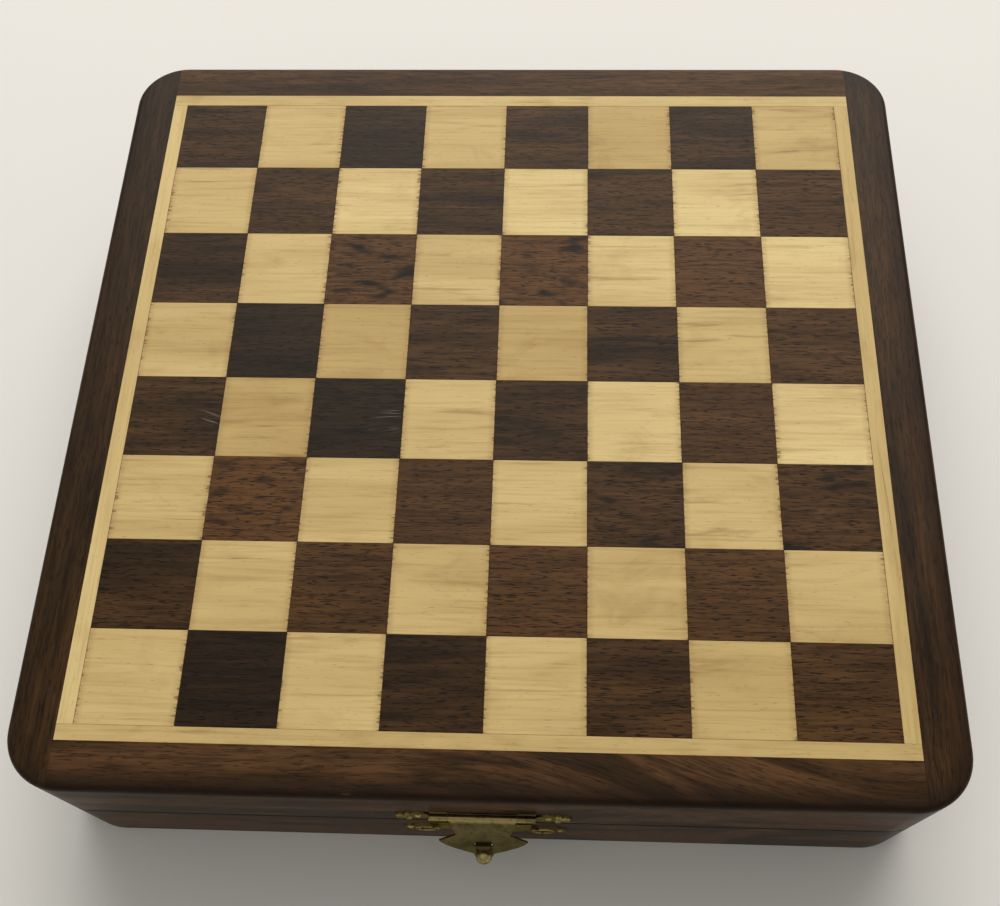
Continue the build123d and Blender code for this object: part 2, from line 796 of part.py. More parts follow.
def queen_outline():
    height = man_height["queen"]
    rim = height - queen_rim_below_top
    stem = turned_foot("queen", rim - cup_height - collar_thickness)
    ring = turned_collar("queen", stem @ 1, stem_radius["queen"])
    cup = Bezier(ring @ 1, (rim - cup_height / 3, stem_radius["queen"] + cup_swell), (rim, queen_rim_radius))
    inside = queen_rim_radius - queen_notch_radius
    bead_start = under_bead(height, queen_bead_radius, queen_bead_neck)
    lip = Line(cup @ 1, (rim, inside))
    dome = Bezier(
        lip @ 1,
        (bead_start, queen_dome_shoulder),
        (bead_start, queen_bead_neck),
    )
    bead = ThreePointArc(
        dome @ 1,
        (height - queen_bead_radius, queen_bead_radius),
        (height, 0),
    )
    Line(bead @ 1, (0, 0))


def king_outline():
    height = man_height["king"]
    rim = height - king_rim_below_top
    cap = height - king_cross_height
    stem = turned_foot("king", rim - cup_height - collar_thickness)
    ring = turned_collar("king", stem @ 1, stem_radius["king"])
    cup = Bezier(ring @ 1, (rim - cup_height / 3, stem_radius["king"] + cup_swell), (rim, king_rim_radius))
    dome = Bezier(
        cup @ 1,
        (cap, king_dome_shoulder),
        (cap, king_cap_radius),
    )
    Polyline(dome @ 1, (cap, 0), (0, 0))


def knight_foot_outline():
    stem = turned_foot("knight", knight_neck - collar_thickness)
    ring = turned_collar("knight", stem @ 1, stem_radius["knight"])
    Polyline(ring @ 1, (knight_neck, 0), (0, 0))


def turned(place, outline):
    """Turns a man about its own axis from half its outline."""
    with BuildSketch(place) as shape:
        with BuildLine():
            outline()
        make_face()
    revolve(shape.sketch, axis=Axis(place.origin, place.x_dir))


def cross_section(place, height):
    """A plane square to the man's axis."""
    return Plane(origin=place.from_local_coords((height, 0, 0)), x_dir=place.y_dir, z_dir=place.x_dir)


def king_cross(place):
    """The cross on top of the king."""
    height = man_height["king"]
    with BuildSketch(side_view(place)) as shape:
        with Locations((height - king_cross_height / 2 - king_cross_bar / 2, 0)):
            Rectangle(king_cross_height + king_cross_bar, king_cross_bar)
        with Locations((height - king_cross_height / 2 + king_cross_bar / 4, 0)):
            Rectangle(king_cross_bar, king_cross_span)
    extrude(shape.sketch, amount=king_cross_bar / 2, both=True)


def queen_coronet(place):
    """Notches round the queen's rim."""
    rim = man_height["queen"] - queen_rim_below_top
    with BuildSketch(cross_section(place, rim)) as shape:
        with PolarLocations(queen_rim_radius, queen_notches):
            Circle(queen_notch_radius)
    extrude(shape.sketch, amount=-queen_notch_radius, mode=Mode.SUBTRACT)


def bishop_cut(place):
    """The slanting cut in the bishop's mitre."""
    head_end = under_bead(man_height["bishop"], bishop_bead_radius, bishop_bead_neck)
    middle = head_end - bishop_cut_below_bead
    with BuildSketch(place) as shape:
        with Locations(Location((middle, bishop_head_radius), bishop_cut_slant)):
            Rectangle(bishop_cut_length, bishop_cut_width)
    extrude(shape.sketch, amount=bishop_head_radius, both=True, mode=Mode.SUBTRACT)


def rook_battlements(place):
    """Two crossed gaps leave four battlements round the turret."""
    with BuildSketch(cross_section(place, man_height["rook"])) as shape:
        Rectangle(3 * rook_turret_radius, rook_gap_width)
        Rectangle(rook_gap_width, 3 * rook_turret_radius)
    extrude(shape.sketch, amount=-rook_battlement, mode=Mode.SUBTRACT)


def side_view(place):
    """The plane through a man's axis that faces up and down as it lies."""
    return Plane(origin=place.origin, x_dir=place.x_dir, z_dir=place.y_dir)


def up(forwards, upwards):
    """A point of the knight's side view, as height up the man's axis and distance forwards."""
    return (upwards, forwards)


def knight_cheek_plane(place, way):
    """The plane of one side of the knight's tapering head, square to which its lines are carved."""
    rise = man_height["knight"] - knight_neck + collar_thickness
    narrowing = way * (head_top_half_width - head_low_half_width)
    low_edge = place.from_local_coords((knight_neck - collar_thickness, way * head_low_half_width, 0))
    along = place.x_dir * rise + place.y_dir * narrowing
    outwards = place.y_dir * (way * rise) - place.x_dir * (way * narrowing)
    return Plane(origin=low_edge, x_dir=along, z_dir=outwards)


def knight_head(place):
    """The carved head: its side view, rounded from above and narrowed from the chest to the ears, with
    the cuts of a carver."""
    with BuildSketch(side_view(place)) as shape:
        with BuildLine():
            nape = Spline(up(head_back, knight_neck), up(*mane_middle), up(*poll))
            ear = Polyline(nape @ 1, up(*ear_tip), up(*ear_front), up(*brow))
            face = Spline(ear @ 1, up(*nose_bridge), up(*nose_top))
            muzzle = ThreePointArc(face @ 1, up(*nose_tip), up(*lip))
            jaw = Bezier(muzzle @ 1, up(*chin), up(*throat))
            breast = Spline(jaw @ 1, up(*breast_middle), up(head_front, knight_neck))
            Line(breast @ 1, nape @ 0)
        make_face()
    extrude(shape.sketch, amount=head_low_half_width, both=True)
    with BuildSketch(cross_section(place, 0)) as shape:
        Ellipse(head_low_half_width, head_plan_half_length)
    extrude(shape.sketch, amount=2 * man_height["knight"], mode=Mode.INTERSECT)
    with BuildSketch(place) as shape:
        with BuildLine():
            low = knight_neck - collar_thickness
            Polyline(
                (low, -head_low_half_width),
                (low, head_low_half_width),
                (man_height["knight"], head_top_half_width),
                (man_height["knight"], -head_top_half_width),
                (low, -head_low_half_width),
            )
        make_face()
    extrude(shape.sketch, amount=foot_radius["knight"], both=True, mode=Mode.INTERSECT)
    with BuildSketch(place) as shape:
        with Locations((man_height["knight"], 0)):
            Rectangle(2 * ear_split_depth, ear_split)
    extrude(shape.sketch, amount=foot_radius["knight"], both=True, mode=Mode.SUBTRACT)
    with BuildSketch(side_view(place)) as shape:
        with Locations(up(lip[0], (lip[1] + nose_tip[1]) / 2)):
            Rectangle(mouth_height, 2 * mouth_depth)
        with Locations(*[nape @ (cut / mane_cuts) for cut in range(1, mane_cuts)]):
            Circle(mane_cut_radius)
    extrude(shape.sketch, amount=head_low_half_width, both=True, mode=Mode.SUBTRACT)
    for way in (-1, 1):
        knight_cheek(place, way)


def knight_cheek(place, way):
    """The shallow cuts on one side of the knight's head: eye, nostril, jowl and the edge of the mane."""

    def spot(forwards, upwards):
        return (upwards - knight_neck + collar_thickness, way * forwards)

    half_line = carved_line / 2
    with BuildSketch(knight_cheek_plane(place, way)) as shape:
        with Locations(spot(*cheek_place)):
            Circle(cheek_radius + half_line)
            Circle(cheek_radius - half_line, mode=Mode.SUBTRACT)
        with Locations(spot(cheek_place[0] + cheek_radius, cheek_place[1])):
            Rectangle(3 * cheek_radius, 2 * cheek_radius, mode=Mode.SUBTRACT)
        with Locations(spot(*eye_place)):
            Circle(eye_radius)
            Circle(eye_bead_radius, mode=Mode.SUBTRACT)
        with Locations(spot(*nostril_place)):
            Circle(nostril_radius)
        with BuildLine():
            mane_places = ((head_back, knight_neck + collar_thickness), mane_middle, poll)
            inner = [spot(x + mane_line_inset - half_line, z) for x, z in mane_places]
            outer = [spot(x + mane_line_inset + half_line, z) for x, z in mane_places]
            first = Spline(*inner)
            second = Spline(*outer)
            Line(first @ 0, second @ 0)
            Line(first @ 1, second @ 1)
        make_face()
    extrude(shape.sketch, amount=carving_depth, both=True, mode=Mode.SUBTRACT)


outlines = {
    "king": king_outline,
    "queen": queen_outline,
    "bishop": bishop_outline,
    "knight": knight_foot_outline,
    "rook": rook_outline,
    "pawn": pawn_outline,
}
carving = {
    "king": king_cross,
    "queen": queen_coronet,
    "bishop": bishop_cut,
    "rook": rook_battlements,
}
# Where each lying man's head touches the floor of its slot: height up the man, and radius there
resting_rim = {
    "king": (man_height["king"] - king_rim_below_top, king_rim_radius),
    "queen": (man_height["queen"] - queen_rim_below_top, queen_rim_radius),
    "bishop": (
        under_bead(man_height["bishop"], bishop_bead_radius, bishop_bead_neck) - 2 * bishop_head_length / 3,
        bishop_head_radius,
    ),
    "knight": (man_height["knight"] - ear_split_depth, knight_resting_radius),
    "rook": (man_height["rook"], rook_turret_radius),
    "pawn": (man_height["pawn"] - pawn_ball_radius, pawn_ball_radius),
}


def lying_lean(kind):
    """How far a lying man's axis dips, so that the rims of its foot and head both touch the slot's floor."""
    head_at, head_radius = resting_rim[kind]
    return atan2(foot_radius[kind] - head_radius, head_at - foot_band)


def foot_set_back(kind):
    """From the end of the slot to the middle of the foot's underside."""
    return slot_end_gap + felt_thickness + foot_radius[kind] * sin(lying_lean(kind))


def lying(kind, x, slot_end_y, towards):
    """A man's own plane as it lies in the tray: local x runs up its axis from the underside of the foot."""
    lean = lying_lean(kind)
    foot_y = slot_end_y + towards * foot_set_back(kind)
    moulding_centre = foot_radius[kind] - foot_moulding
    rise = moulding_centre * cos(lean) + foot_moulding + foot_band * sin(lean)
    return Plane(
        origin=(x, foot_y, slot_floor + lying_gap + rise),
        x_dir=(0, towards * cos(lean), -sin(lean)),
        z_dir=(towards, 0, 0),
    )


def carve(kind, place):
    """One whole man with the bore for its magnet."""
    if kind == "knight":
        knight_head(place)
    turned(place, outlines[kind])
    if kind in carving:
        carving[kind](place)
    with BuildSketch(cross_section(place, 0)) as shape:
        Circle(magnet_radius + magnet_gap)
    extrude(shape.sketch, amount=magnet_height + magnet_gap, mode=Mode.SUBTRACT)


def slot_length(kind):
    return foot_set_back(kind) + man_height[kind] + slot_end_gap


back_row = ["rook", "knight", "bishop", "queen", "king", "bishop", "knight", "rook"]
flanks = ["queen", "queen", "queen", "", "", "king", "king", "king"]
officer_row_edge = tray_half - tray_margin
pawn_row_edge = officer_row_edge - slot_length("king") - row_wall
column_x = [(column + 0.5) * square_size - field_half for column in range(squares_per_side)]
feet = []

# Chess men: white lie at the front of the tray and black at the back, feet outwards
for colour, sign in (("white", -1), ("black", 1)):
    for column, kind in enumerate(back_row):
        place = lying(kind, column_x[column], sign * officer_row_edge, -sign)
        with BuildPart() as officer:
            carve(kind, place)
        flank = flanks[column]
        name = f"{colour}_{flank}_side_{kind}" if flank else f"{colour}_{kind}"
        write(officer, name)
        feet.append((kind, place))
    with BuildPart() as pawns:
        for x in column_x:
            place = lying("pawn", x, sign * pawn_row_edge, -sign)
            carve("pawn", place)
            feet.append(("pawn", place))
    write(pawns, f"{colour}_pawns")

# Magnets and felts in the feet of the men
with BuildPart() as magnets:
    for kind, place in feet:
        with BuildSketch(cross_section(place, 0)):
            Circle(magnet_radius)
        extrude(amount=magnet_height)
write(magnets, "foot_magnets")

with BuildPart() as felts:
    for kind, place in feet:
        with BuildSketch(cross_section(place, 0)):
            Circle(foot_radius[kind] - felt_inset)
        extrude(amount=-felt_thickness)
write(felts, "foot_felts")

# Flocked tray: a block with a slot for each man and a trough across the middle for the fingers
with BuildPart() as flocked_tray:
    with BuildSketch(Plane.XY.offset(tray_low)):
        Rectangle(2 * tray_half, 2 * tray_half)
    extrude(amount=tray_thickness)
    with BuildSketch(Plane.XY.offset(tray_top)):
        for sign in (-1, 1):
            for column, kind in enumerate(back_row):
                width = 2 * (foot_radius[kind] + slot_side_gap)
                length = slot_length(kind)
                with Locations((column_x[column], sign * (officer_row_edge - length / 2))):
                    RectangleRounded(width, length, slot_corner)
                width = 2 * (foot_radius["pawn"] + slot_side_gap)
                length = slot_length("pawn")
                with Locations((column_x[column], sign * (pawn_row_edge - length / 2))):
                    RectangleRounded(width, length, slot_corner)
        trough_half = pawn_row_edge - slot_length("pawn") - row_wall
        RectangleRounded(2 * (tray_half - trough_margin), 2 * trough_half, slot_corner)
    extrude(amount=-(tray_top - slot_floor), mode=Mode.SUBTRACT)
write(flocked_tray, "flocked_tray")
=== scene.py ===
import math

import bmesh
import bpy
from mathutils import Matrix, Vector


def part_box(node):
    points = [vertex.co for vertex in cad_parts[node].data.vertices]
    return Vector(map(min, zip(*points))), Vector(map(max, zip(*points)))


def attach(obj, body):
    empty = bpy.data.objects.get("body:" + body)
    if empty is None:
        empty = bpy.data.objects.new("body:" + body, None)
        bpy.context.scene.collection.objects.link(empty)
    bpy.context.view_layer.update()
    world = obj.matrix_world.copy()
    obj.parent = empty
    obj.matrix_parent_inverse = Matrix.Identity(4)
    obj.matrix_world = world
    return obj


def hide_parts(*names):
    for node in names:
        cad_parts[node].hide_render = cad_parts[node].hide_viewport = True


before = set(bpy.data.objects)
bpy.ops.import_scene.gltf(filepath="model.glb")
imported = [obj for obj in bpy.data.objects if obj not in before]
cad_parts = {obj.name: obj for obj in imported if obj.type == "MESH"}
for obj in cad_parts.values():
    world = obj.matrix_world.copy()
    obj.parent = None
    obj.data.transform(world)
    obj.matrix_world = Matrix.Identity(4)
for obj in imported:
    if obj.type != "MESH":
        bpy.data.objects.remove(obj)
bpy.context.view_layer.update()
scene = bpy.context.scene


# Camera. It stands at the photograph's viewing angle, in front of the hasp and looking steeply down.
# The turn is about the upright, the tilt is from straight down, and the roll is about the view.
camera_place = (0.01421, -0.18042, 0.32257)
camera_turn = math.radians(5.743)
camera_tilt = math.radians(21.863)
camera_roll = math.radians(-4.219)
lens_width = 36.0
lens_length = 38.406
lens_shift = 0.1563
nearest_seen = 0.01
farthest_seen = 50

lens = bpy.data.cameras.new("camera")
lens.sensor_width = lens_width
lens.lens = lens_length
lens.shift_y = lens_shift
lens.clip_start = nearest_seen
lens.clip_end = farthest_seen
camera = bpy.data.objects.new("camera", lens)
scene.collection.objects.link(camera)
camera.matrix_world = (
    Matrix.Translation(camera_place)
    @ Matrix.Rotation(camera_turn, 4, "Z")
    @ Matrix.Rotation(camera_tilt, 4, "X")
    @ Matrix.Rotation(camera_roll, 4, "Z")
)
scene.camera = camera
scene.view_settings.view_transform = "Standard"


# Room. A pale matt floor, a dim soft sky all round, one broad lamp behind the board, where the light
# in the photograph comes from, a broad one overhead and a weaker one in front.
floor_colour = (0.82, 0.81, 0.79, 1)
floor_roughness = 0.9
floor_gloss = 0.1
floor_reach = 1.8
sky_colour = (1, 0.975, 0.9, 1)
sky_light = 0.32
lamp_colour = (1, 0.97, 0.91)
lamps = {
    "back_lamp": {"power": 21.0, "size": 2.2, "place": (0.1, 1.52, 1.28), "spread": 110},
    "top_lamp": {"power": 1.5, "size": 1.5, "place": (0.0, 0.3, 1.1), "spread": 180},
    "front_lamp": {"power": 0.5, "size": 0.8, "place": (-0.6, -0.6, 0.9), "spread": 180},
}


def add_node(tree, kind, inputs=None, **settings):
    """Adds a node to a finish or a pattern, sets it up and wires its inputs."""
    made = tree.nodes.new(kind)
    for name, value in settings.items():
        setattr(made, name, value)
    for name, value in (inputs or {}).items():
        if isinstance(value, bpy.types.NodeSocket):
            tree.links.new(value, made.inputs[name])
        else:
            made.inputs[name].default_value = value
    return made


floor_mesh = bpy.data.meshes.new("floor")
floor_corners = [(x * floor_reach, y * floor_reach, 0) for x, y in ((-1, -1), (1, -1), (1, 1), (-1, 1))]
floor_mesh.from_pydata(floor_corners, [], [(0, 1, 2, 3)])
floor = bpy.data.objects.new("floor", floor_mesh)
scene.collection.objects.link(floor)
floor_finish = bpy.data.materials.new("floor")
floor_finish.use_nodes = True
floor_shader = floor_finish.node_tree.nodes["Principled BSDF"]
floor_shader.inputs["Base Color"].default_value = floor_colour
floor_shader.inputs["Roughness"].default_value = floor_roughness
floor_shader.inputs["Specular IOR Level"].default_value = floor_gloss
floor_mesh.materials.append(floor_finish)

sky = bpy.data.worlds.new("sky")
scene.world = sky
sky.use_nodes = True
sky_tree = sky.node_tree
sky_tree.nodes.clear()
sky_shader = add_node(sky_tree, "ShaderNodeBackground", {"Color": sky_colour, "Strength": sky_light})
add_node(sky_tree, "ShaderNodeOutputWorld", {"Surface": sky_shader.outputs[0]})

for name, settings in lamps.items():
    lamp_data = bpy.data.lights.new(name, "AREA")
    lamp_data.energy = settings["power"]
    lamp_data.size = settings["size"]
    lamp_data.spread = math.radians(settings["spread"])
    lamp_data.color = lamp_colour
    lamp = bpy.data.objects.new(name, lamp_data)
    scene.collection.objects.link(lamp)
    aim = Vector(settings["place"]).to_track_quat("Z", "Y").to_matrix().to_4x4()
    lamp.matrix_world = Matrix.Translation(settings["place"]) @ aim


# Dark squares. Thirty-two squares of sawn rosewood veneer, glued edge to edge with the pale ones on
# the board, sanded flush and lacquered. The grain of all of them runs left to right, and each is cut
# from its own place in the veneer. Two have fine scratches.
square_size = 0.027
squares_per_side = 8
board_half = squares_per_side * square_size / 2
eased_edge = 0.00006
veneer_seed = 11
cut_from_low = (-5, -5, -5)
cut_from_high = (5, 5, 5)

lacquer_gloss = 0.065
pore_relief = 0.00004
pore_relief_strength = 0.6

dark_wood = {
    "deep brown": (0.032, 0.0165, 0.0066, 1),
    "mid brown": (0.088, 0.043, 0.015, 1),
    "red brown": (0.128, 0.057, 0.0185, 1),
    "nearly black": (0.0195, 0.0125, 0.007, 1),
    "pale band": (0.118, 0.056, 0.023, 1),
    "dark band": (0.0165, 0.0095, 0.0045, 1),
    "fine line": (0.3, 0.3, 0.3, 1),
    "blotch": (0.010, 0.0068, 0.004, 1),
    "open pore": (0.006, 0.0035, 0.002, 1),
}
# Each mark's stretch is how many specks it has in a metre along the grain and across it.
dark_marks = {
    "broad": {"stretch": (14, 110, 110), "shift": (0, 0, 0), "noise": (3, 0.55, 0.6)},
    "wavy": {"stretch": (9, 95, 95), "shift": (7, 2, 4), "noise": (3, 0.6, 0.9)},
    "fine": {"stretch": (60, 1000, 1000), "shift": (0, 0, 0), "noise": (3, 0.65, 0.3)},
    "pores": {"stretch": (330, 2600, 2600), "shift": (0, 0, 0), "noise": (1, 0.4, 0.2)},
    "blotches": {"stretch": (120, 330, 330), "shift": (5, 3, 1), "noise": (1, 0.5, 0.2)},
}
broad_from = 0.3
broad_to = 0.7
pale_band_from = 0.54
pale_band_to = 0.42
dark_band_from = 0.47
dark_band_to = 0.62
fine_from = 0.38
fine_to = 0.66
fine_strength = 0.64
pore_from = 0.585
pore_to = 0.645
blotch_from = 0.5
blotch_to = 0.76
dark_heart_strength = 0.85

# Squares that look different are named by their column from the left and their row from the back.
nearly_black = {(2, 0): 0.6, (1, 3): 0.85, (2, 4): 0.9, (1, 7): 0.95, (3, 7): 0.35, (0, 6): 0.2}
reddish = {
    (2, 2): 0.7, (4, 2): 0.9, (6, 2): 0.8, (1, 5): 0.9, (3, 5): 0.35, (6, 4): 0.4, (6, 6): 0.5,
    (7, 1): 0.3, (7, 3): 0.35, (7, 5): 0.4, (2, 6): 0.35, (4, 6): 0.5, (7, 7): 0.3,
}
blotched = {(2, 2): 1.0, (4, 2): 0.9, (1, 5): 0.6, (7, 5): 0.9, (5, 5): 0.8, (4, 4): 0.6}
dark_differences = {"nearly_black": nearly_black, "reddish": reddish, "blotched": blotched}

scratches = (
    {"middle": (-0.0335, -0.0120, 0.054), "reach": (0.0075, 0.0022, 0.01), "turn": -4, "strength": 0.75},
    {"middle": (-0.0330, -0.0172, 0.054), "reach": (0.0070, 0.0020, 0.01), "turn": -14, "strength": 0.7},
    {"middle": (-0.0870, -0.0145, 0.054), "reach": (0.0080, 0.0035, 0.01), "turn": 16, "strength": 0.45},
)
scratch_stretch = (60, 3000, 3000)
scratch_colour = (0.32, 0.255, 0.19, 1)


def worked(tree, operation, *values):
    """One sum on numbers in a node tree."""
    return add_node(tree, "ShaderNodeMath", dict(enumerate(values)), operation=operation).outputs[0]


def new_finish(name):
    """An empty finish made of nodes, and its tree."""
    finish = bpy.data.materials.new(name)
    finish.use_nodes = True
    finish.node_tree.nodes.clear()
    return finish, finish.node_tree


def from_object(tree, scale=(1, 1, 1), rotation=(0, 0, 0), location=(0, 0, 0)):
    """Places on the piece, in metres, scaled and turned by a Mapping node."""
    place = add_node(tree, "ShaderNodeTexCoord").outputs["Object"]
    settings = {"Vector": place, "Scale": scale, "Rotation": rotation, "Location": location}
    return add_node(tree, "ShaderNodeMapping", settings).outputs[0]


def stretched(tree, place, scale, location=(0, 0, 0)):
    """The same places, stretched along the grain."""
    settings = {"Vector": place, "Scale": scale, "Location": location}
    return add_node(tree, "ShaderNodeMapping", settings).outputs[0]


def speckle(tree, place, detail, roughness, distortion=0.0):
    """Soft noise from 0 to 1, about one speck for each unit of the place."""
    settings = {
        "Vector": place,
        "Scale": 1.0,
        "Detail": detail,
        "Roughness": roughness,
        "Distortion": distortion,
    }
    return add_node(tree, "ShaderNodeTexNoise", settings).outputs[0]


def between(tree, value, low, high, out_low=0.0, out_high=1.0):
    """Spreads the part of a value between low and high, smoothly."""
    settings = {"Value": value, "From Min": low, "From Max": high, "To Min": out_low, "To Max": out_high}
    return add_node(tree, "ShaderNodeMapRange", settings, interpolation_type="SMOOTHSTEP").outputs[0]


def blended(tree, amount, first, second, way="MIX"):
    """One colour laid over another."""
    made = add_node(tree, "ShaderNodeMix", data_type="RGBA", blend_type=way)
    for index, value in ((0, amount), (6, first), (7, second)):
        if isinstance(value, bpy.types.NodeSocket):
            tree.links.new(value, made.inputs[index])
        else:
            made.inputs[index].default_value = value
    return made.outputs[2]


def shaded(tree, values):
    """Ends a finish with its one shader."""
    shader = add_node(tree, "ShaderNodeBsdfPrincipled", values)
    add_node(tree, "ShaderNodeOutputMaterial", {"Surface": shader.outputs[0]})


def pressed(tree, height, depth, strength):
    """A faint relief, for the shader's normal."""
    settings = {"Height": height, "Distance": depth, "Strength": strength}
    return add_node(tree, "ShaderNodeBump", settings).outputs[0]


def lacquered(tree, colour, height, roughness=0.42, coat=0.03, coat_roughness=0.2):
    """Wood under a thin satin lacquer: the open pores show through it as a faint relief."""
    satin = {
        "Base Color": colour,
        "Roughness": roughness,
        "Specular IOR Level": lacquer_gloss,
        "Coat Weight": coat,
        "Coat Roughness": coat_roughness,
        "Normal": pressed(tree, height, pore_relief, pore_relief_strength),
    }
    shaded(tree, satin)


def grain_noise(tree, place, mark):
    """The soft noise that one kind of mark in the wood is made from."""
    return speckle(tree, stretched(tree, place, mark["stretch"], mark["shift"]), *mark["noise"])


def dark_grain(tree, place, red, black, blotch, figure=0.0, pore_depth=0.78):
    """Colour and pore depth of rosewood whose grain runs along X."""
    noise = {name: grain_noise(tree, place, mark) for name, mark in dark_marks.items()}
    broad = between(tree, noise["broad"], broad_from, broad_to)
    fine = between(tree, noise["fine"], fine_from, fine_to, 0.0, fine_strength)
    pore = between(tree, noise["pores"], pore_from, pore_to)
    pale_band = between(tree, noise["wavy"], pale_band_from, pale_band_to)
    pale_band = worked(tree, "MULTIPLY", pale_band, figure)
    dark_band = between(tree, noise["wavy"], dark_band_from, dark_band_to)
    dark_band = worked(tree, "MULTIPLY", dark_band, figure)
    smudge = between(tree, noise["blotches"], blotch_from, blotch_to)
    smudge = worked(tree, "MULTIPLY", smudge, blotch)
    dark_heart = worked(tree, "MULTIPLY", black, dark_heart_strength)
    open_pore = worked(tree, "MULTIPLY", pore, pore_depth)
    brown = blended(tree, broad, dark_wood["deep brown"], dark_wood["mid brown"])
    brown = blended(tree, red, brown, dark_wood["red brown"])
    brown = blended(tree, dark_heart, brown, dark_wood["nearly black"])
    brown = blended(tree, pale_band, brown, dark_wood["pale band"])
    brown = blended(tree, dark_band, brown, dark_wood["dark band"])
    brown = blended(tree, fine, brown, dark_wood["fine line"], "MULTIPLY")
    brown = blended(tree, smudge, brown, dark_wood["blotch"])
    brown = blended(tree, open_pore, brown, dark_wood["open pore"])
    return brown, worked(tree, "SUBTRACT", 1.0, pore)


def how_far(tree, place, middle, reach):
    """Distance of each place from a middle, where 1 is the reach along each axis."""
    away = add_node(tree, "ShaderNodeVectorMath", {0: place, 1: middle}, operation="SUBTRACT")
    away = add_node(tree, "ShaderNodeVectorMath", {0: away.outputs[0], 1: reach}, operation="DIVIDE")
    return add_node(tree, "ShaderNodeVectorMath", {0: away.outputs[0]}, operation="LENGTH").outputs["Value"]


def own_value(tree, name):
    """A value that each square carries."""
    return add_node(tree, "ShaderNodeAttribute", attribute_name=name)


def square_place(tree):
    """Places in the veneer that a square was cut from: each square carries its own shift."""
    place = add_node(tree, "ShaderNodeTexCoord").outputs["Object"]
    shift = own_value(tree, "cut_from").outputs["Vector"]
    summed = add_node(tree, "ShaderNodeVectorMath", {0: place, 1: shift}, operation="ADD").outputs[0]
    return add_node(tree, "ShaderNodeMapping", {"Vector": summed}).outputs[0]


def square_pattern(name, finish):
    """Geometry nodes that lay one square at every other place of the board."""
    tree = bpy.data.node_groups.new(name, "GeometryNodeTree")
    interface = tree.interface
    interface.new_socket("Geometry", in_out="INPUT", socket_type="NodeSocketGeometry")
    interface.new_socket("Square", in_out="INPUT", socket_type="NodeSocketObject")
    interface.new_socket("Square size", in_out="INPUT", socket_type="NodeSocketFloat")
    interface.new_socket("Squares per side", in_out="INPUT", socket_type="NodeSocketInt")
    interface.new_socket("Height", in_out="INPUT", socket_type="NodeSocketFloat")
    interface.new_socket("First", in_out="INPUT", socket_type="NodeSocketInt")
    interface.new_socket("Seed", in_out="INPUT", socket_type="NodeSocketInt")
    interface.new_socket("Geometry", in_out="OUTPUT", socket_type="NodeSocketGeometry")
    given = add_node(tree, "NodeGroupInput").outputs
    count = given["Squares per side"]
    span = worked(tree, "MULTIPLY", worked(tree, "SUBTRACT", count, 1), given["Square size"])
    grid = add_node(
        tree,
        "GeometryNodeMeshGrid",
        {"Size X": span, "Size Y": span, "Vertices X": count, "Vertices Y": count},
    )
    points = add_node(tree, "GeometryNodeMeshToPoints", {"Mesh": grid.outputs[0]})
    index = add_node(tree, "GeometryNodeInputIndex").outputs[0]
    column = worked(tree, "FLOOR", worked(tree, "DIVIDE", index, count))
    row = worked(tree, "MODULO", index, count)
    parity = worked(tree, "MODULO", worked(tree, "ADD", column, row), 2)
    chosen = worked(tree, "COMPARE", parity, given["First"], 0.5)
    source = add_node(tree, "GeometryNodeObjectInfo", {"Object": given["Square"]})
    laid = add_node(
        tree,
        "GeometryNodeInstanceOnPoints",
        {"Points": points.outputs[0], "Selection": chosen, "Instance": source.outputs["Geometry"]},
    )
    picked = add_node(
        tree,
        "FunctionNodeRandomValue",
        {"Min": cut_from_low, "Max": cut_from_high, "ID": index, "Seed": given["Seed"]},
        data_type="FLOAT_VECTOR",
    )
    shifted = add_node(
        tree,
        "GeometryNodeStoreNamedAttribute",
        {"Geometry": laid.outputs[0], "Name": "cut_from", "Value": picked.outputs[0]},
        data_type="FLOAT_VECTOR",
        domain="INSTANCE",
    )
    lift = add_node(tree, "ShaderNodeCombineXYZ", {"Z": given["Height"]})
    raised = add_node(
        tree,
        "GeometryNodeTranslateInstances",
        {"Instances": shifted.outputs[0], "Translation": lift.outputs[0]},
    )
    real = add_node(tree, "GeometryNodeRealizeInstances", {"Geometry": raised.outputs[0]})
    finished = add_node(tree, "GeometryNodeSetMaterial", {"Geometry": real.outputs[0], "Material": finish})
    add_node(tree, "NodeGroupOutput", {"Geometry": finished.outputs[0]})
    return tree


def set_up(piece, tree, values):
    """Puts a pattern on a piece and sets its sizes by each socket's identifier."""
    pattern = piece.modifiers.new(tree.name, "NODES")
    pattern.node_group = tree
    for socket in tree.interface.items_tree:
        if socket.in_out == "INPUT" and socket.name in values:
            pattern[socket.identifier] = values[socket.name]


def made_plain(piece, name):
    """The evaluated piece as a plain mesh with no modifiers."""
    bpy.context.view_layer.update()
    evaluated = piece.evaluated_get(bpy.context.evaluated_depsgraph_get())
    mesh = bpy.data.meshes.new_from_object(evaluated)
    bpy.data.objects.remove(piece)
    plain = bpy.data.objects.new(name, mesh)
    scene.collection.objects.link(plain)
    return plain


def empty_piece(name):
    """A piece with no mesh yet, for a pattern to fill."""
    piece = bpy.data.objects.new(name, bpy.data.meshes.new(name))
    scene.collection.objects.link(piece)
    return piece


def mesh_piece(name, shape):
    """A piece from a finished shape."""
    mesh = bpy.data.meshes.new(name)
    shape.to_mesh(mesh)
    shape.free()
    piece = bpy.data.objects.new(name, mesh)
    scene.collection.objects.link(piece)
    return piece


def mark_squares(piece, name, marked):
    """Gives the corners of the named squares their own value, and all the others nought."""
    own = piece.data.attributes.new(name, "FLOAT", "POINT")
    for corner, value in zip(piece.data.vertices, own.data):
        column = math.floor((corner.co.x + board_half) / square_size)
        row = math.floor((board_half - corner.co.y) / square_size)
        value.value = marked.get((column, row), 0.0)


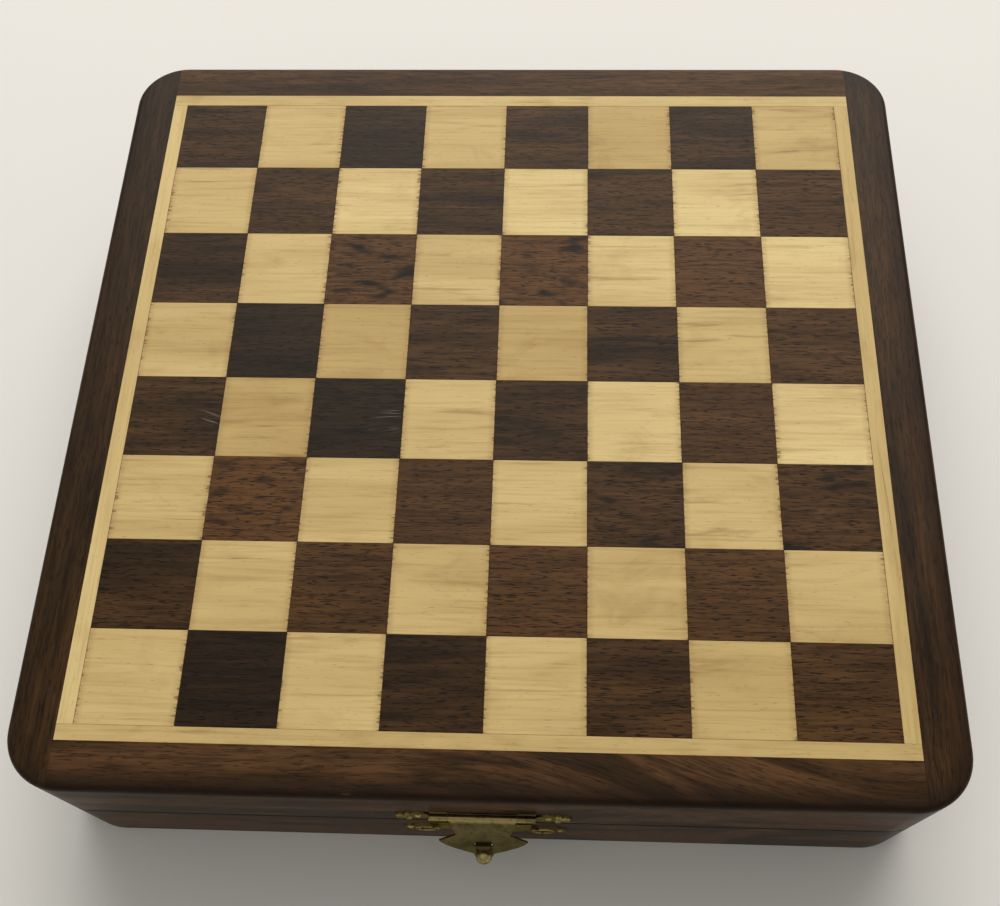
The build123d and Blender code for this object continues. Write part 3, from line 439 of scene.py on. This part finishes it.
square_low, square_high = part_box("light_squares")
veneer_thickness = square_high.z - square_low.z
square_width = square_size - 2 * (square_low.x + board_half)
shape = bmesh.new()
bmesh.ops.create_cube(shape, size=1)
bmesh.ops.scale(shape, vec=(square_width, square_width, veneer_thickness), verts=shape.verts)
bmesh.ops.translate(shape, vec=(0, 0, -veneer_thickness / 2), verts=shape.verts)
top_edges = [edge for edge in shape.edges if all(corner.co.z > -eased_edge for corner in edge.verts)]
bmesh.ops.bevel(shape, geom=top_edges, offset=eased_edge, segments=1, affect="EDGES")
one_square = mesh_piece("one_square", shape)


def lay_squares(name, first, finish, differences):
    """Lays every other square of the board, as one plain piece that carries its differences."""
    laid = empty_piece(name)
    sizes = {
        "Square": one_square,
        "Square size": square_size,
        "Squares per side": squares_per_side,
        "Height": square_high.z,
        "First": first,
        "Seed": veneer_seed,
    }
    set_up(laid, square_pattern(name, finish), sizes)
    squares = made_plain(laid, name)
    for difference, marked in differences.items():
        mark_squares(squares, difference, marked)
    return squares


dark_veneer, tree = new_finish("dark_square_wood")
red = own_value(tree, "reddish").outputs["Fac"]
black = own_value(tree, "nearly_black").outputs["Fac"]
blotch = own_value(tree, "blotched").outputs["Fac"]
colour, pores = dark_grain(tree, square_place(tree), red, black, blotch)
whole = from_object(tree)
for scratch in scratches:
    away = how_far(tree, whole, scratch["middle"], scratch["reach"])
    turned = from_object(tree, rotation=(0, 0, math.radians(scratch["turn"])))
    hair = speckle(tree, stretched(tree, turned, scratch_stretch), 1, 0.4, 0.3)
    hair = worked(tree, "MULTIPLY", between(tree, hair, 0.6, 0.68), between(tree, away, 1.0, 0.5))
    hair = worked(tree, "MULTIPLY", hair, scratch["strength"])
    colour = blended(tree, hair, colour, scratch_colour)
lacquered(tree, colour, pores)

dark_squares = lay_squares("dark_veneer_squares", 1, dark_veneer, dark_differences)
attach(dark_squares, "lid")
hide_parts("dark_squares")


# Pale squares. Thirty-two squares of boxwood veneer at the other places. The saw has left its teeth
# in their ends, where rosewood dust has settled under the lacquer and stained the joint.
deep_straw = (0.535, 0.38, 0.155, 1)
light_straw = (0.75, 0.59, 0.28, 1)
pale_marks = {
    "broad": {"stretch": (10, 80, 80), "shift": (0, 0, 0), "noise": (3, 0.5, 0.8)},
    "cloud": {"stretch": (45, 75, 75), "shift": (4, 9, 1), "noise": (3, 0.6, 0.6)},
    "fine": {"stretch": (32, 1000, 1000), "shift": (0, 0, 0), "noise": (3, 0.7, 0.3)},
    "line": {"stretch": (22, 330, 330), "shift": (2, 7, 3), "noise": (3, 0.6, 0.7)},
    "fleck": {"stretch": (420, 2800, 2800), "shift": (0, 0, 0), "noise": (1, 0.5, 0.0)},
}
pale_shades = {
    "broad": {"from": 0.35, "to": 0.7, "strength": 0.42, "tint": (0.67, 0.59, 0.49, 1)},
    "cloud": {"from": 0.5, "to": 0.75, "strength": 0.34, "tint": (0.58, 0.48, 0.40, 1)},
    "fine": {"from": 0.45, "to": 0.72, "strength": 0.40, "tint": (0.62, 0.53, 0.44, 1)},
    "line": {"from": 0.58, "to": 0.72, "strength": 0.5, "tint": (0.48, 0.37, 0.30, 1)},
    "fleck": {"from": 0.68, "to": 0.76, "strength": 0.4, "tint": (0.38, 0.28, 0.23, 1)},
}
pale_pore_from = 0.5
pale_pore_to = 0.8
pale_pore_depth = 0.5

lowest_tone = 0.35
tone_spread = 0.2
marked_tone = 0.75
paler = {(2, 1): 0.9, (4, 1): 0.8, (6, 1): 1.0, (5, 2): 0.5, (7, 2): 0.8, (7, 4): 0.8, (5, 4): 0.4}
deeper = {(5, 0): 0.5, (2, 3): 0.7, (4, 3): 0.5, (1, 4): 0.9, (6, 7): 0.4}
pale_differences = {"paler": paler, "deeper": deeper}

# Places across a square are shares of its width, counted from its middle: its edge is at a half.
tooth_stretch = (110, 1250, 1250)
ragged_stretch = (0.9, 0.9, 0.9)
square_edge = 0.498
shallow_cut = 0.478
deep_cut = 0.446
cut_softness = 0.014
bleed_from = 0.41
joint_from = 0.4935
joint_to = 0.4965
bleed_colour = (0.30, 0.175, 0.07, 1)
saw_mark_colour = (0.13, 0.07, 0.03, 1)
joint_colour = (0.06, 0.035, 0.018, 1)


def pale_grain(tree, place, tone):
    """Colour and pore depth of boxwood whose grain runs along X."""
    noise = {name: grain_noise(tree, place, mark) for name, mark in pale_marks.items()}
    straw = blended(tree, tone, deep_straw, light_straw)
    for name, shade in pale_shades.items():
        amount = between(tree, noise[name], shade["from"], shade["to"], 0.0, shade["strength"])
        straw = blended(tree, amount, straw, shade["tint"], "MULTIPLY")
    pore = between(tree, noise["fine"], pale_pore_from, pale_pore_to, 0.0, pale_pore_depth)
    return straw, worked(tree, "SUBTRACT", 1.0, pore)


pale_veneer, tree = new_finish("pale_inlay_wood")
place = square_place(tree)
tone = worked(tree, "FRACT", own_value(tree, "cut_from").outputs["Fac"])
tone = worked(tree, "MULTIPLY_ADD", tone, tone_spread, lowest_tone)
tone = worked(tree, "MULTIPLY_ADD", own_value(tree, "paler").outputs["Fac"], marked_tone, tone)
tone = worked(tree, "MULTIPLY_ADD", own_value(tree, "deeper").outputs["Fac"], -marked_tone, tone)
colour, pores = pale_grain(tree, place, tone)
whole = from_object(tree, (1 / square_size, 1 / square_size, 1))
across = add_node(tree, "ShaderNodeSeparateXYZ", {"Vector": whole}).outputs
side = worked(tree, "ABSOLUTE", worked(tree, "SUBTRACT", worked(tree, "FRACT", across[0]), 0.5))
tooth = speckle(tree, stretched(tree, place, tooth_stretch), 2, 0.6)
ragged = speckle(tree, stretched(tree, whole, ragged_stretch, (3, 8, 1)), 1, 0.5)
deepest = between(tree, ragged, 0.38, 0.62, shallow_cut, deep_cut)
depth = worked(tree, "SUBTRACT", deepest, square_edge)
reach = worked(tree, "MULTIPLY_ADD", between(tree, tooth, 0.42, 0.72), depth, square_edge)
saw_mark = between(tree, worked(tree, "SUBTRACT", side, reach), 0.0, cut_softness, 0.0, 0.62)
worn = between(tree, tooth, 0.3, 0.6, 0.3, 1)
bleed = worked(tree, "MULTIPLY", between(tree, side, bleed_from, 0.5, 0.0, 0.45), worn)
colour = blended(tree, bleed, colour, bleed_colour)
colour = blended(tree, saw_mark, colour, saw_mark_colour)
joint = between(tree, side, joint_from, joint_to, 0.0, 0.6)
colour = blended(tree, joint, colour, joint_colour)
lacquered(tree, colour, pores)

pale_squares = lay_squares("pale_veneer_squares", 0, pale_veneer, pale_differences)
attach(pale_squares, "lid")
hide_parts("light_squares")
bpy.data.objects.remove(one_square)


# Stringing. A pale boxwood strip on each side of the squares, mitreless: the front and back strips
# run right across and the side strips are cut to fit between them. Glued into the same lacquer.
strip_tones = {"front": 0.35, "back": 0.55, "left": 0.75, "right": 0.45}
strip_turns = {"front": 0.0, "back": 0.0, "left": math.pi / 2, "right": math.pi / 2}
strip_cut_step = 0.31


def finish_node(node, finish):
    """Gives a frame piece its real finish."""
    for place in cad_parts[node].material_slots:
        place.material = finish


for number, side in enumerate(strip_tones):
    finish, tree = new_finish(f"{side}_stringing_wood")
    cut_from = (number * strip_cut_step, 0.2, 0.1)
    place = from_object(tree, rotation=(0, 0, strip_turns[side]), location=cut_from)
    colour, pores = pale_grain(tree, place, strip_tones[side])
    lacquered(tree, colour, pores)
    finish_node(f"{side}_stringing", finish)


# Rails. Eight rosewood rails, four in the lid and four in the base, each with its grain along its
# length. The side rails run the full depth, the others butt between them, and the outer edges are
# rounded after glueing. The top rounded edges are darkened as painted shade, and so is a thin band
# along the seam, as painted shade in its gap.
rail_turns = {"front": 0.0, "back": 0.0, "left": math.pi / 2, "right": math.pi / 2}
rail_red = {"front": 0.3, "back": 0.3, "left": 0.0, "right": 0.0}
rail_black = {"front": 0.0, "back": 0.0, "left": 0.45, "right": 0.0}
rail_figure = {"front": 0.65, "back": 0.35, "left": 0.12, "right": 0.2}
rail_blotch = 0.2
rail_pore_depth = 0.5
rail_cut_along = 0.43
rail_cut_across = 0.7
rail_cut_down = 0.15
figure_leans_from = -0.01
figure_leans_to = 0.11
figure_lean = 0.028
heartwood_to = 0.115
outer_wood_from = 0.123
heartwood_black = 0.6
outer_wood_red = 0.35
outer_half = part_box("lid_right_rail")[1].x
corner_radius = 0.016
# Painted shade: how dark the top rounded edge of each side is made, and where that darkening reaches.
edge_painted_shade = {"front": 0.85, "back": 0.0, "left": 0.35, "right": 0.7}
edge_shade_width = 0.0086
edge_shade_deepest_at = 0.0012
edge_shade_below = 0.0505
edge_shade_above = 0.0515
edge_shade_colour = (0.012, 0.0065, 0.004, 1)
seam_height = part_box("lid_front_rail")[0].z
# Painted shade in the gap along the seam between lid and base, on the outer faces only.
seam_shade_to = 0.0007
seam_unshaded_from = 0.0013
seam_shade_width = 0.0016
seam_shade_deepest_at = 0.0004
seam_shade_colour = (0.004, 0.003, 0.002, 1)
seam_shade_strength = 0.9
chip_middle = (-0.0342, -0.1245, 0.0532)
chip_reach = (0.0024, 0.0006, 0.0008)
chip_strength = 0.5
chip_colour = (0.17, 0.125, 0.095, 1)
smooth_angle = math.radians(32)
weld_distance = 0.000001


def smoothing_pattern():
    """Geometry nodes that join a frame piece's triangles and shade its curves smoothly."""
    tree = bpy.data.node_groups.new("Smooth curves", "GeometryNodeTree")
    interface = tree.interface
    interface.new_socket("Geometry", in_out="INPUT", socket_type="NodeSocketGeometry")
    interface.new_socket("Weld distance", in_out="INPUT", socket_type="NodeSocketFloat")
    interface.new_socket("Smooth angle", in_out="INPUT", socket_type="NodeSocketFloat")
    interface.new_socket("Geometry", in_out="OUTPUT", socket_type="NodeSocketGeometry")
    given = add_node(tree, "NodeGroupInput").outputs
    welded = add_node(
        tree,
        "GeometryNodeMergeByDistance",
        {"Geometry": given["Geometry"], "Distance": given["Weld distance"]},
    )
    angle = add_node(tree, "GeometryNodeInputMeshEdgeAngle").outputs["Unsigned Angle"]
    gentle = worked(tree, "LESS_THAN", angle, given["Smooth angle"])
    faces = add_node(
        tree,
        "GeometryNodeSetShadeSmooth",
        {"Geometry": welded.outputs[0], "Shade Smooth": True},
        domain="FACE",
    )
    edges = add_node(
        tree,
        "GeometryNodeSetShadeSmooth",
        {"Geometry": faces.outputs[0], "Shade Smooth": gentle},
        domain="EDGE",
    )
    add_node(tree, "NodeGroupOutput", {"Geometry": edges.outputs[0]})
    return tree


smooth_curves = smoothing_pattern()


def smooth_node(node):
    """Shades the curves of a frame piece smoothly, without touching its mesh."""
    values = {"Weld distance": weld_distance, "Smooth angle": smooth_angle}
    set_up(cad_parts[node], smooth_curves, values)


for number, side in enumerate(rail_turns):
    finish, tree = new_finish(f"{side}_rail_wood")
    own = from_object(tree)
    along = add_node(tree, "ShaderNodeSeparateXYZ", {"Vector": own}).outputs
    cut_from = (number * rail_cut_along, rail_cut_across, number * rail_cut_down)
    place = from_object(tree, rotation=(0, 0, rail_turns[side]), location=cut_from)
    if side == "front":
        lean = between(tree, along[0], figure_leans_from, figure_leans_to, 0.0, figure_lean)
        lean = add_node(tree, "ShaderNodeCombineXYZ", {"Y": lean}).outputs[0]
        place = add_node(tree, "ShaderNodeVectorMath", {0: place, 1: lean}, operation="ADD").outputs[0]
    red = rail_red[side]
    black = rail_black[side]
    if side == "right":
        red = between(tree, along[0], heartwood_to, outer_wood_from, 0.0, outer_wood_red)
        black = between(tree, along[0], heartwood_to, outer_wood_from, heartwood_black, 0.0)
    colour, pores = dark_grain(tree, place, red, black, rail_blotch, rail_figure[side], rail_pore_depth)
    # Painted shade along the seam's gap, kept to the outer faces.
    from_seam = worked(tree, "ABSOLUTE", worked(tree, "SUBTRACT", along[2], seam_height))
    seam_shade = between(tree, from_seam, seam_shade_to, seam_unshaded_from, seam_shade_strength, 0.0)
    squared = []
    for axis in (0, 1):
        beyond = worked(tree, "SUBTRACT", worked(tree, "ABSOLUTE", along[axis]), outer_half - corner_radius)
        squared.append(worked(tree, "POWER", worked(tree, "MAXIMUM", beyond, 0), 2))
    outward = worked(tree, "SQRT", worked(tree, "ADD", *squared))
    inward = worked(tree, "SUBTRACT", corner_radius, outward)
    seam_shade = worked(tree, "MULTIPLY", seam_shade, between(tree, inward, seam_shade_width, seam_shade_deepest_at))
    colour = blended(tree, seam_shade, colour, seam_shade_colour)
    # Painted shade on the top rounded edges, deepest at the outer face.
    edge_shade = between(tree, inward, edge_shade_width, edge_shade_deepest_at, 0.0, edge_painted_shade[side])
    edge_shade = worked(tree, "MULTIPLY", edge_shade, between(tree, along[2], edge_shade_below, edge_shade_above))
    colour = blended(tree, edge_shade, colour, edge_shade_colour)
    if side == "front":
        away = how_far(tree, own, chip_middle, chip_reach)
        chip = between(tree, away, 1.0, 0.3, 0.0, chip_strength)
        colour = blended(tree, chip, colour, chip_colour)
    lacquered(tree, colour, pores)
    for half in ("lid", "base"):
        finish_node(f"{half}_{side}_rail", finish)
        smooth_node(f"{half}_{side}_rail")


# Board core and bottom panel. Two thin birch panels: one is let into the lid's rails and carries the
# squares, the other closes the base from below. Sanded and oiled, so they stay matt.
birch_tone = 0.2
oiled_colour = (0.30, 0.175, 0.085, 1)
oiled_strength = 0.35
panel_cut_from = (0.5, 0.4, 0.3)

panel_finish, tree = new_finish("panel_wood")
place = from_object(tree, location=panel_cut_from)
colour, pores = pale_grain(tree, place, birch_tone)
colour = blended(tree, oiled_strength, colour, oiled_colour)
lacquered(tree, colour, pores, roughness=0.62, coat=0.05, coat_roughness=0.4)
for node in ("board_core", "bottom_panel"):
    finish_node(node, panel_finish)


# Steel. A thin rolled sheet under the squares holds the men's magnets, which are short nickel-plated
# rods pressed into the feet.
dull_steel = (0.42, 0.43, 0.45, 1)
bright_steel = (0.6, 0.61, 0.63, 1)
rolling_stretch = (40, 2600, 2600)
rolling_depth = 0.00001

steel_finish, tree = new_finish("bare_steel")
place = from_object(tree, scale=rolling_stretch)
rolled = speckle(tree, place, 3, 0.6)
shade = blended(tree, between(tree, rolled, 0.3, 0.7), dull_steel, bright_steel)
rough = between(tree, rolled, 0.2, 0.8, 0.28, 0.42)
relief = pressed(tree, rolled, rolling_depth, 0.4)
shaded(tree, {"Base Color": shade, "Metallic": 1.0, "Roughness": rough, "Normal": relief})
for node in ("steel_sheet", "foot_magnets"):
    finish_node(node, steel_finish)


# Butt hinges. Two small brass hinges let into the back rims, each with two leaves, five rolled
# knuckles and a loose pin, and held by countersunk slotted brass screws.
drawn_brass = (0.50, 0.375, 0.17, 1)
drawn_shade = (0.33, 0.24, 0.105, 1)
drawn_tarnish = (0.15, 0.10, 0.043, 1)
drawn_edge = (0.8, 0.72, 0.52, 1)
rolled_grain = (90, 2400, 2400)
hinge_colours = (drawn_brass, drawn_shade, drawn_tarnish)
drawn_roughness = 0.42
drawn_spots = 0.55
cloud_stretch = (170, 170, 170)
spot_stretch = (900, 900, 900)
rougher_by = 0.18
pitting_depth = 0.00003
lit_fades_over = 0.001


def brass_finish(name, bright, dull, dark, tarnish, grain, edge, rough=0.24, lit_colour=None, lit_above=0):
    """Brass that has dulled, with darker spots where hands don't rub it, and painted light above a height
    when a lit colour is given.
    """
    finish, tree = new_finish(name)
    place = from_object(tree)
    cloud = speckle(tree, stretched(tree, place, cloud_stretch), 4, 0.6, 0.5)
    spots = speckle(tree, stretched(tree, place, spot_stretch, (3, 1, 2)), 3, 0.6)
    brushed = speckle(tree, stretched(tree, place, grain), 2, 0.5)
    metal = blended(tree, between(tree, cloud, 0.35, 0.68), bright, dull)
    # Painted light: above the given height the metal turns to the lit colour.
    if lit_colour:
        height = add_node(tree, "ShaderNodeSeparateXYZ", {"Vector": place}).outputs[2]
        painted_light = between(tree, height, lit_above, lit_above + lit_fades_over)
        metal = blended(tree, painted_light, metal, lit_colour)
    worn = worked(tree, "MULTIPLY", between(tree, spots, 0.52, 0.7), tarnish)
    metal = blended(tree, worn, metal, dark)
    satin = between(tree, cloud, 0.3, 0.7, rough, rough + rougher_by)
    mixed = worked(tree, "MULTIPLY_ADD", brushed, 0.3, spots)
    brass = {
        "Base Color": metal,
        "Metallic": 1.0,
        "Roughness": satin,
        "Specular Tint": edge,
        "Normal": pressed(tree, mixed, pitting_depth, 0.35),
    }
    shaded(tree, brass)
    return finish


hinge_brass = brass_finish(
    "hinge_brass", *hinge_colours, drawn_spots, rolled_grain, drawn_edge, rough=drawn_roughness
)
hinge_nodes = ["hinge_lid_screws", "hinge_base_screws"]
for side in ("left", "right"):
    hinge_nodes += [f"{side}_hinge_base_leaf", f"{side}_hinge_lid_leaf", f"{side}_hinge_pin"]
for node in hinge_nodes:
    finish_node(node, hinge_brass)
    smooth_node(node)


# Hasp. Stamped and pierced sheet brass with an aged finish: a winged plate on the lid rolled
# into a barrel, a hanging flap with a turned knob, a winged plate on the base with the catch, all
# held by round-headed nails. The flap's brass is darkened to olive as painted shade, except its
# barrel, which keeps the plates' brass as painted light; the knob and the nails are rubbed bright.
# The flap's colours are brass darkened as painted shade.
flap_olive_painted_shade = (0.2, 0.168, 0.084, 1)
flap_dull_olive_painted_shade = (0.11, 0.093, 0.049, 1)
tarnish_colour = (0.035, 0.03, 0.017, 1)
aged_brass = (0.44, 0.355, 0.15, 1)
dull_brass = (0.22, 0.18, 0.075, 1)
rubbed_brass = (0.62, 0.51, 0.23, 1)
stamped_grain = (1200, 1200, 200)
flap_edge_painted_shade = (0.3, 0.28, 0.2, 1)
plate_edge = (0.55, 0.48, 0.28, 1)
flap_spots = 0.5
plate_spots = 0.75
knob_spots = 0.5
barrel_above = 0.0362
flap_painted_shade_colours = (flap_olive_painted_shade, flap_dull_olive_painted_shade, tarnish_colour)
plate_colours = (aged_brass, dull_brass, tarnish_colour)
knob_colours = (rubbed_brass, dull_brass, tarnish_colour)
# The flap's barrel, above this height, keeps the plates' brass as painted light on its lit top.
barrel = {"lit_colour": aged_brass, "lit_above": barrel_above}
flap_brass_painted_shade = brass_finish("flap_brass_painted_shade", *flap_painted_shade_colours, flap_spots, stamped_grain, flap_edge_painted_shade, **barrel)
plate_brass = brass_finish("plate_brass", *plate_colours, plate_spots, stamped_grain, plate_edge)
knob_brass = brass_finish("knob_brass", *knob_colours, knob_spots, stamped_grain, plate_edge)
hasp_finishes = {
    "hasp_top_plate": plate_brass,
    "hasp_bottom_plate": plate_brass,
    "hasp_flap": flap_brass_painted_shade,
    "hasp_knob": knob_brass,
    "hasp_pin": plate_brass,
    "hasp_lid_nails": knob_brass,
    "hasp_base_nails": knob_brass,
}
for node, finish in hasp_finishes.items():
    finish_node(node, finish)
    smooth_node(node)


# Lid lining. A square of short-pile green felt, laid on the inner face of the board's core and
# glued down. The pile takes a slight unevenness from the glue.
felt_green = (0.012, 0.085, 0.04, 1)
felt_shade = (0.006, 0.05, 0.024, 1)
sheen_colour = (0.55, 0.85, 0.65, 1)
brushed_lighter = (2.2, 1.5, 1.7)
brushed_stretch = (35, 35, 35)
pile_depth = 0.0003
lining_fibre = 2600
lining_cells = 90
lining_wave = 0.00012
long_wave = (61, 23)
cross_wave = (-31, 47)
cross_wave_start = 1.3


def pile_finish(name, light, shade, fibre):
    """Short upright fibres: matt, with a soft sheen at grazing angles."""
    finish, tree = new_finish(name)
    place = from_object(tree)
    tufts = speckle(tree, stretched(tree, place, (fibre, fibre, fibre)), 4, 0.7)
    brushed = speckle(tree, stretched(tree, place, brushed_stretch, (1, 4, 2)), 3, 0.6, 0.4)
    colour = blended(tree, between(tree, tufts, 0.3, 0.72), shade, light)
    lighter = [channel * times for channel, times in zip(light, brushed_lighter)] + [1]
    colour = blended(tree, between(tree, brushed, 0.45, 0.75, 0.0, 0.35), colour, lighter)
    pile = {
        "Base Color": colour,
        "Roughness": 0.95,
        "Specular IOR Level": 0.15,
        "Sheen Weight": 0.5,
        "Sheen Roughness": 0.5,
        "Sheen Tint": sheen_colour,
        "Normal": pressed(tree, tufts, pile_depth, 0.7),
    }
    shaded(tree, pile)
    return finish


def uneven(x, y):
    """A gentle unevenness from 0 to 1, the same each time."""
    along = math.sin(long_wave[0] * x + long_wave[1] * y)
    across = math.sin(cross_wave[0] * x + cross_wave[1] * y + cross_wave_start)
    return 0.5 + 0.25 * along + 0.25 * across


lining_felt = pile_finish("lining_cloth", felt_green, felt_shade, lining_fibre)
low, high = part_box("lid_lining")
shape = bmesh.new()
bmesh.ops.create_grid(shape, x_segments=lining_cells, y_segments=lining_cells, size=0.5)
for corner in shape.verts:
    corner.co.x = corner.co.x * (high.x - low.x) + (high.x + low.x) / 2
    corner.co.y = corner.co.y * (high.y - low.y) + (high.y + low.y) / 2
    corner.co.z = low.z + lining_wave * uneven(corner.co.x, corner.co.y)
lower = list(shape.faces)
bmesh.ops.reverse_faces(shape, faces=[face for face in lower if face.normal.z > 0])
rim = [edge for edge in shape.edges if edge.is_boundary]
walls = bmesh.ops.extrude_edge_only(shape, edges=rim)["geom"]
upper = [part for part in walls if isinstance(part, bmesh.types.BMVert)]
for corner in upper:
    corner.co.z = high.z
bmesh.ops.contextual_create(shape, geom=[part for part in walls if isinstance(part, bmesh.types.BMEdge)])
bmesh.ops.recalc_face_normals(shape, faces=shape.faces)
lining = mesh_piece("lid_felt", shape)
for face in lining.data.polygons:
    face.use_smooth = abs(face.normal.z) > 0.9 and len(face.vertices) == 4
lining.data.materials.append(lining_felt)
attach(lining, "lid")
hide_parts("lid_lining")


# Tray. A moulded block with a slot for each man and a trough across the middle, covered all over
# with green flock, which rounds every edge a little.
flock_round = 0.0005
flock_fibre = 3400
sharp_angle = math.radians(50)
flock_finish = pile_finish("flock", felt_green, felt_shade, flock_fibre)


def soft_copy(node, name, rounding, segments, finish, body):
    """A copy of a soft frame piece whose sharp edges are rounded by its pile."""
    shape = bmesh.new()
    shape.from_mesh(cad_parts[node].data)
    bmesh.ops.remove_doubles(shape, verts=shape.verts, dist=weld_distance)
    for face in shape.faces:
        face.smooth = True
    piece = mesh_piece(name, shape)
    bevel = piece.modifiers.new("pile rounding", "BEVEL")
    bevel.width = rounding
    bevel.segments = segments
    bevel.limit_method = "ANGLE"
    bevel.angle_limit = sharp_angle
    even = piece.modifiers.new("flat faces shade evenly", "WEIGHTED_NORMAL")
    even.mode = "FACE_AREA"
    piece = made_plain(piece, name)
    piece.data.materials.clear()
    piece.data.materials.append(finish)
    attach(piece, body)
    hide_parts(node)


soft_copy("flocked_tray", "flock_covered_tray", flock_round, 3, flock_finish, "base")


# Chess men. Thirty-two turned men, pale boxwood and dark rosewood, waxed. The knights' heads are
# carved. Each foot has a green felt disc glued over its magnet.
pale_light = (0.62, 0.43, 0.20, 1)
pale_dark = (0.50, 0.32, 0.135, 1)
pale_line = (0.36, 0.205, 0.075, 1)
rosewood_light = (0.085, 0.034, 0.017, 1)
rosewood_dark = (0.04, 0.017, 0.01, 1)
rosewood_line = (0.016, 0.008, 0.005, 1)
turned_broad = (30, 260, 260)
turned_fine = (160, 2600, 2600)
turned_pores = (420, 4200, 4200)


def turned_finish(name, light, dark, line):
    """Waxed wood whose grain runs along the man, with the turner's fine rings across it."""
    finish, tree = new_finish(name)
    place = from_object(tree, rotation=(0, 0, math.pi / 2), location=(0.3, 0.1, 0.2))
    broad = speckle(tree, stretched(tree, place, turned_broad), 3, 0.55, 0.8)
    fine = speckle(tree, stretched(tree, place, turned_fine), 3, 0.6, 0.3)
    pores = between(tree, speckle(tree, stretched(tree, place, turned_pores), 1, 0.4), 0.64, 0.72)
    wood = blended(tree, between(tree, broad, 0.3, 0.7), dark, light)
    wood = blended(tree, between(tree, fine, 0.45, 0.75, 0.0, 0.5), wood, line)
    wood = blended(tree, worked(tree, "MULTIPLY", pores, 0.5), wood, line)
    height = worked(tree, "SUBTRACT", 1.0, pores)
    lacquered(tree, wood, height, roughness=0.36, coat=0.3, coat_roughness=0.2)
    return finish


pale_man = turned_finish("pale_man_wood", pale_light, pale_dark, pale_line)
dark_man = turned_finish("dark_man_wood", rosewood_light, rosewood_dark, rosewood_line)
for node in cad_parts:
    if node.startswith("white_") or node.startswith("black_"):
        finish_node(node, pale_man if node.startswith("white_") else dark_man)
        smooth_node(node)

felt_round = 0.00018
felt_fibre = 4200
foot_felt = pile_finish("foot_felt", felt_green, felt_shade, felt_fibre)
soft_copy("foot_felts", "felt_discs", felt_round, 2, foot_felt, "base")
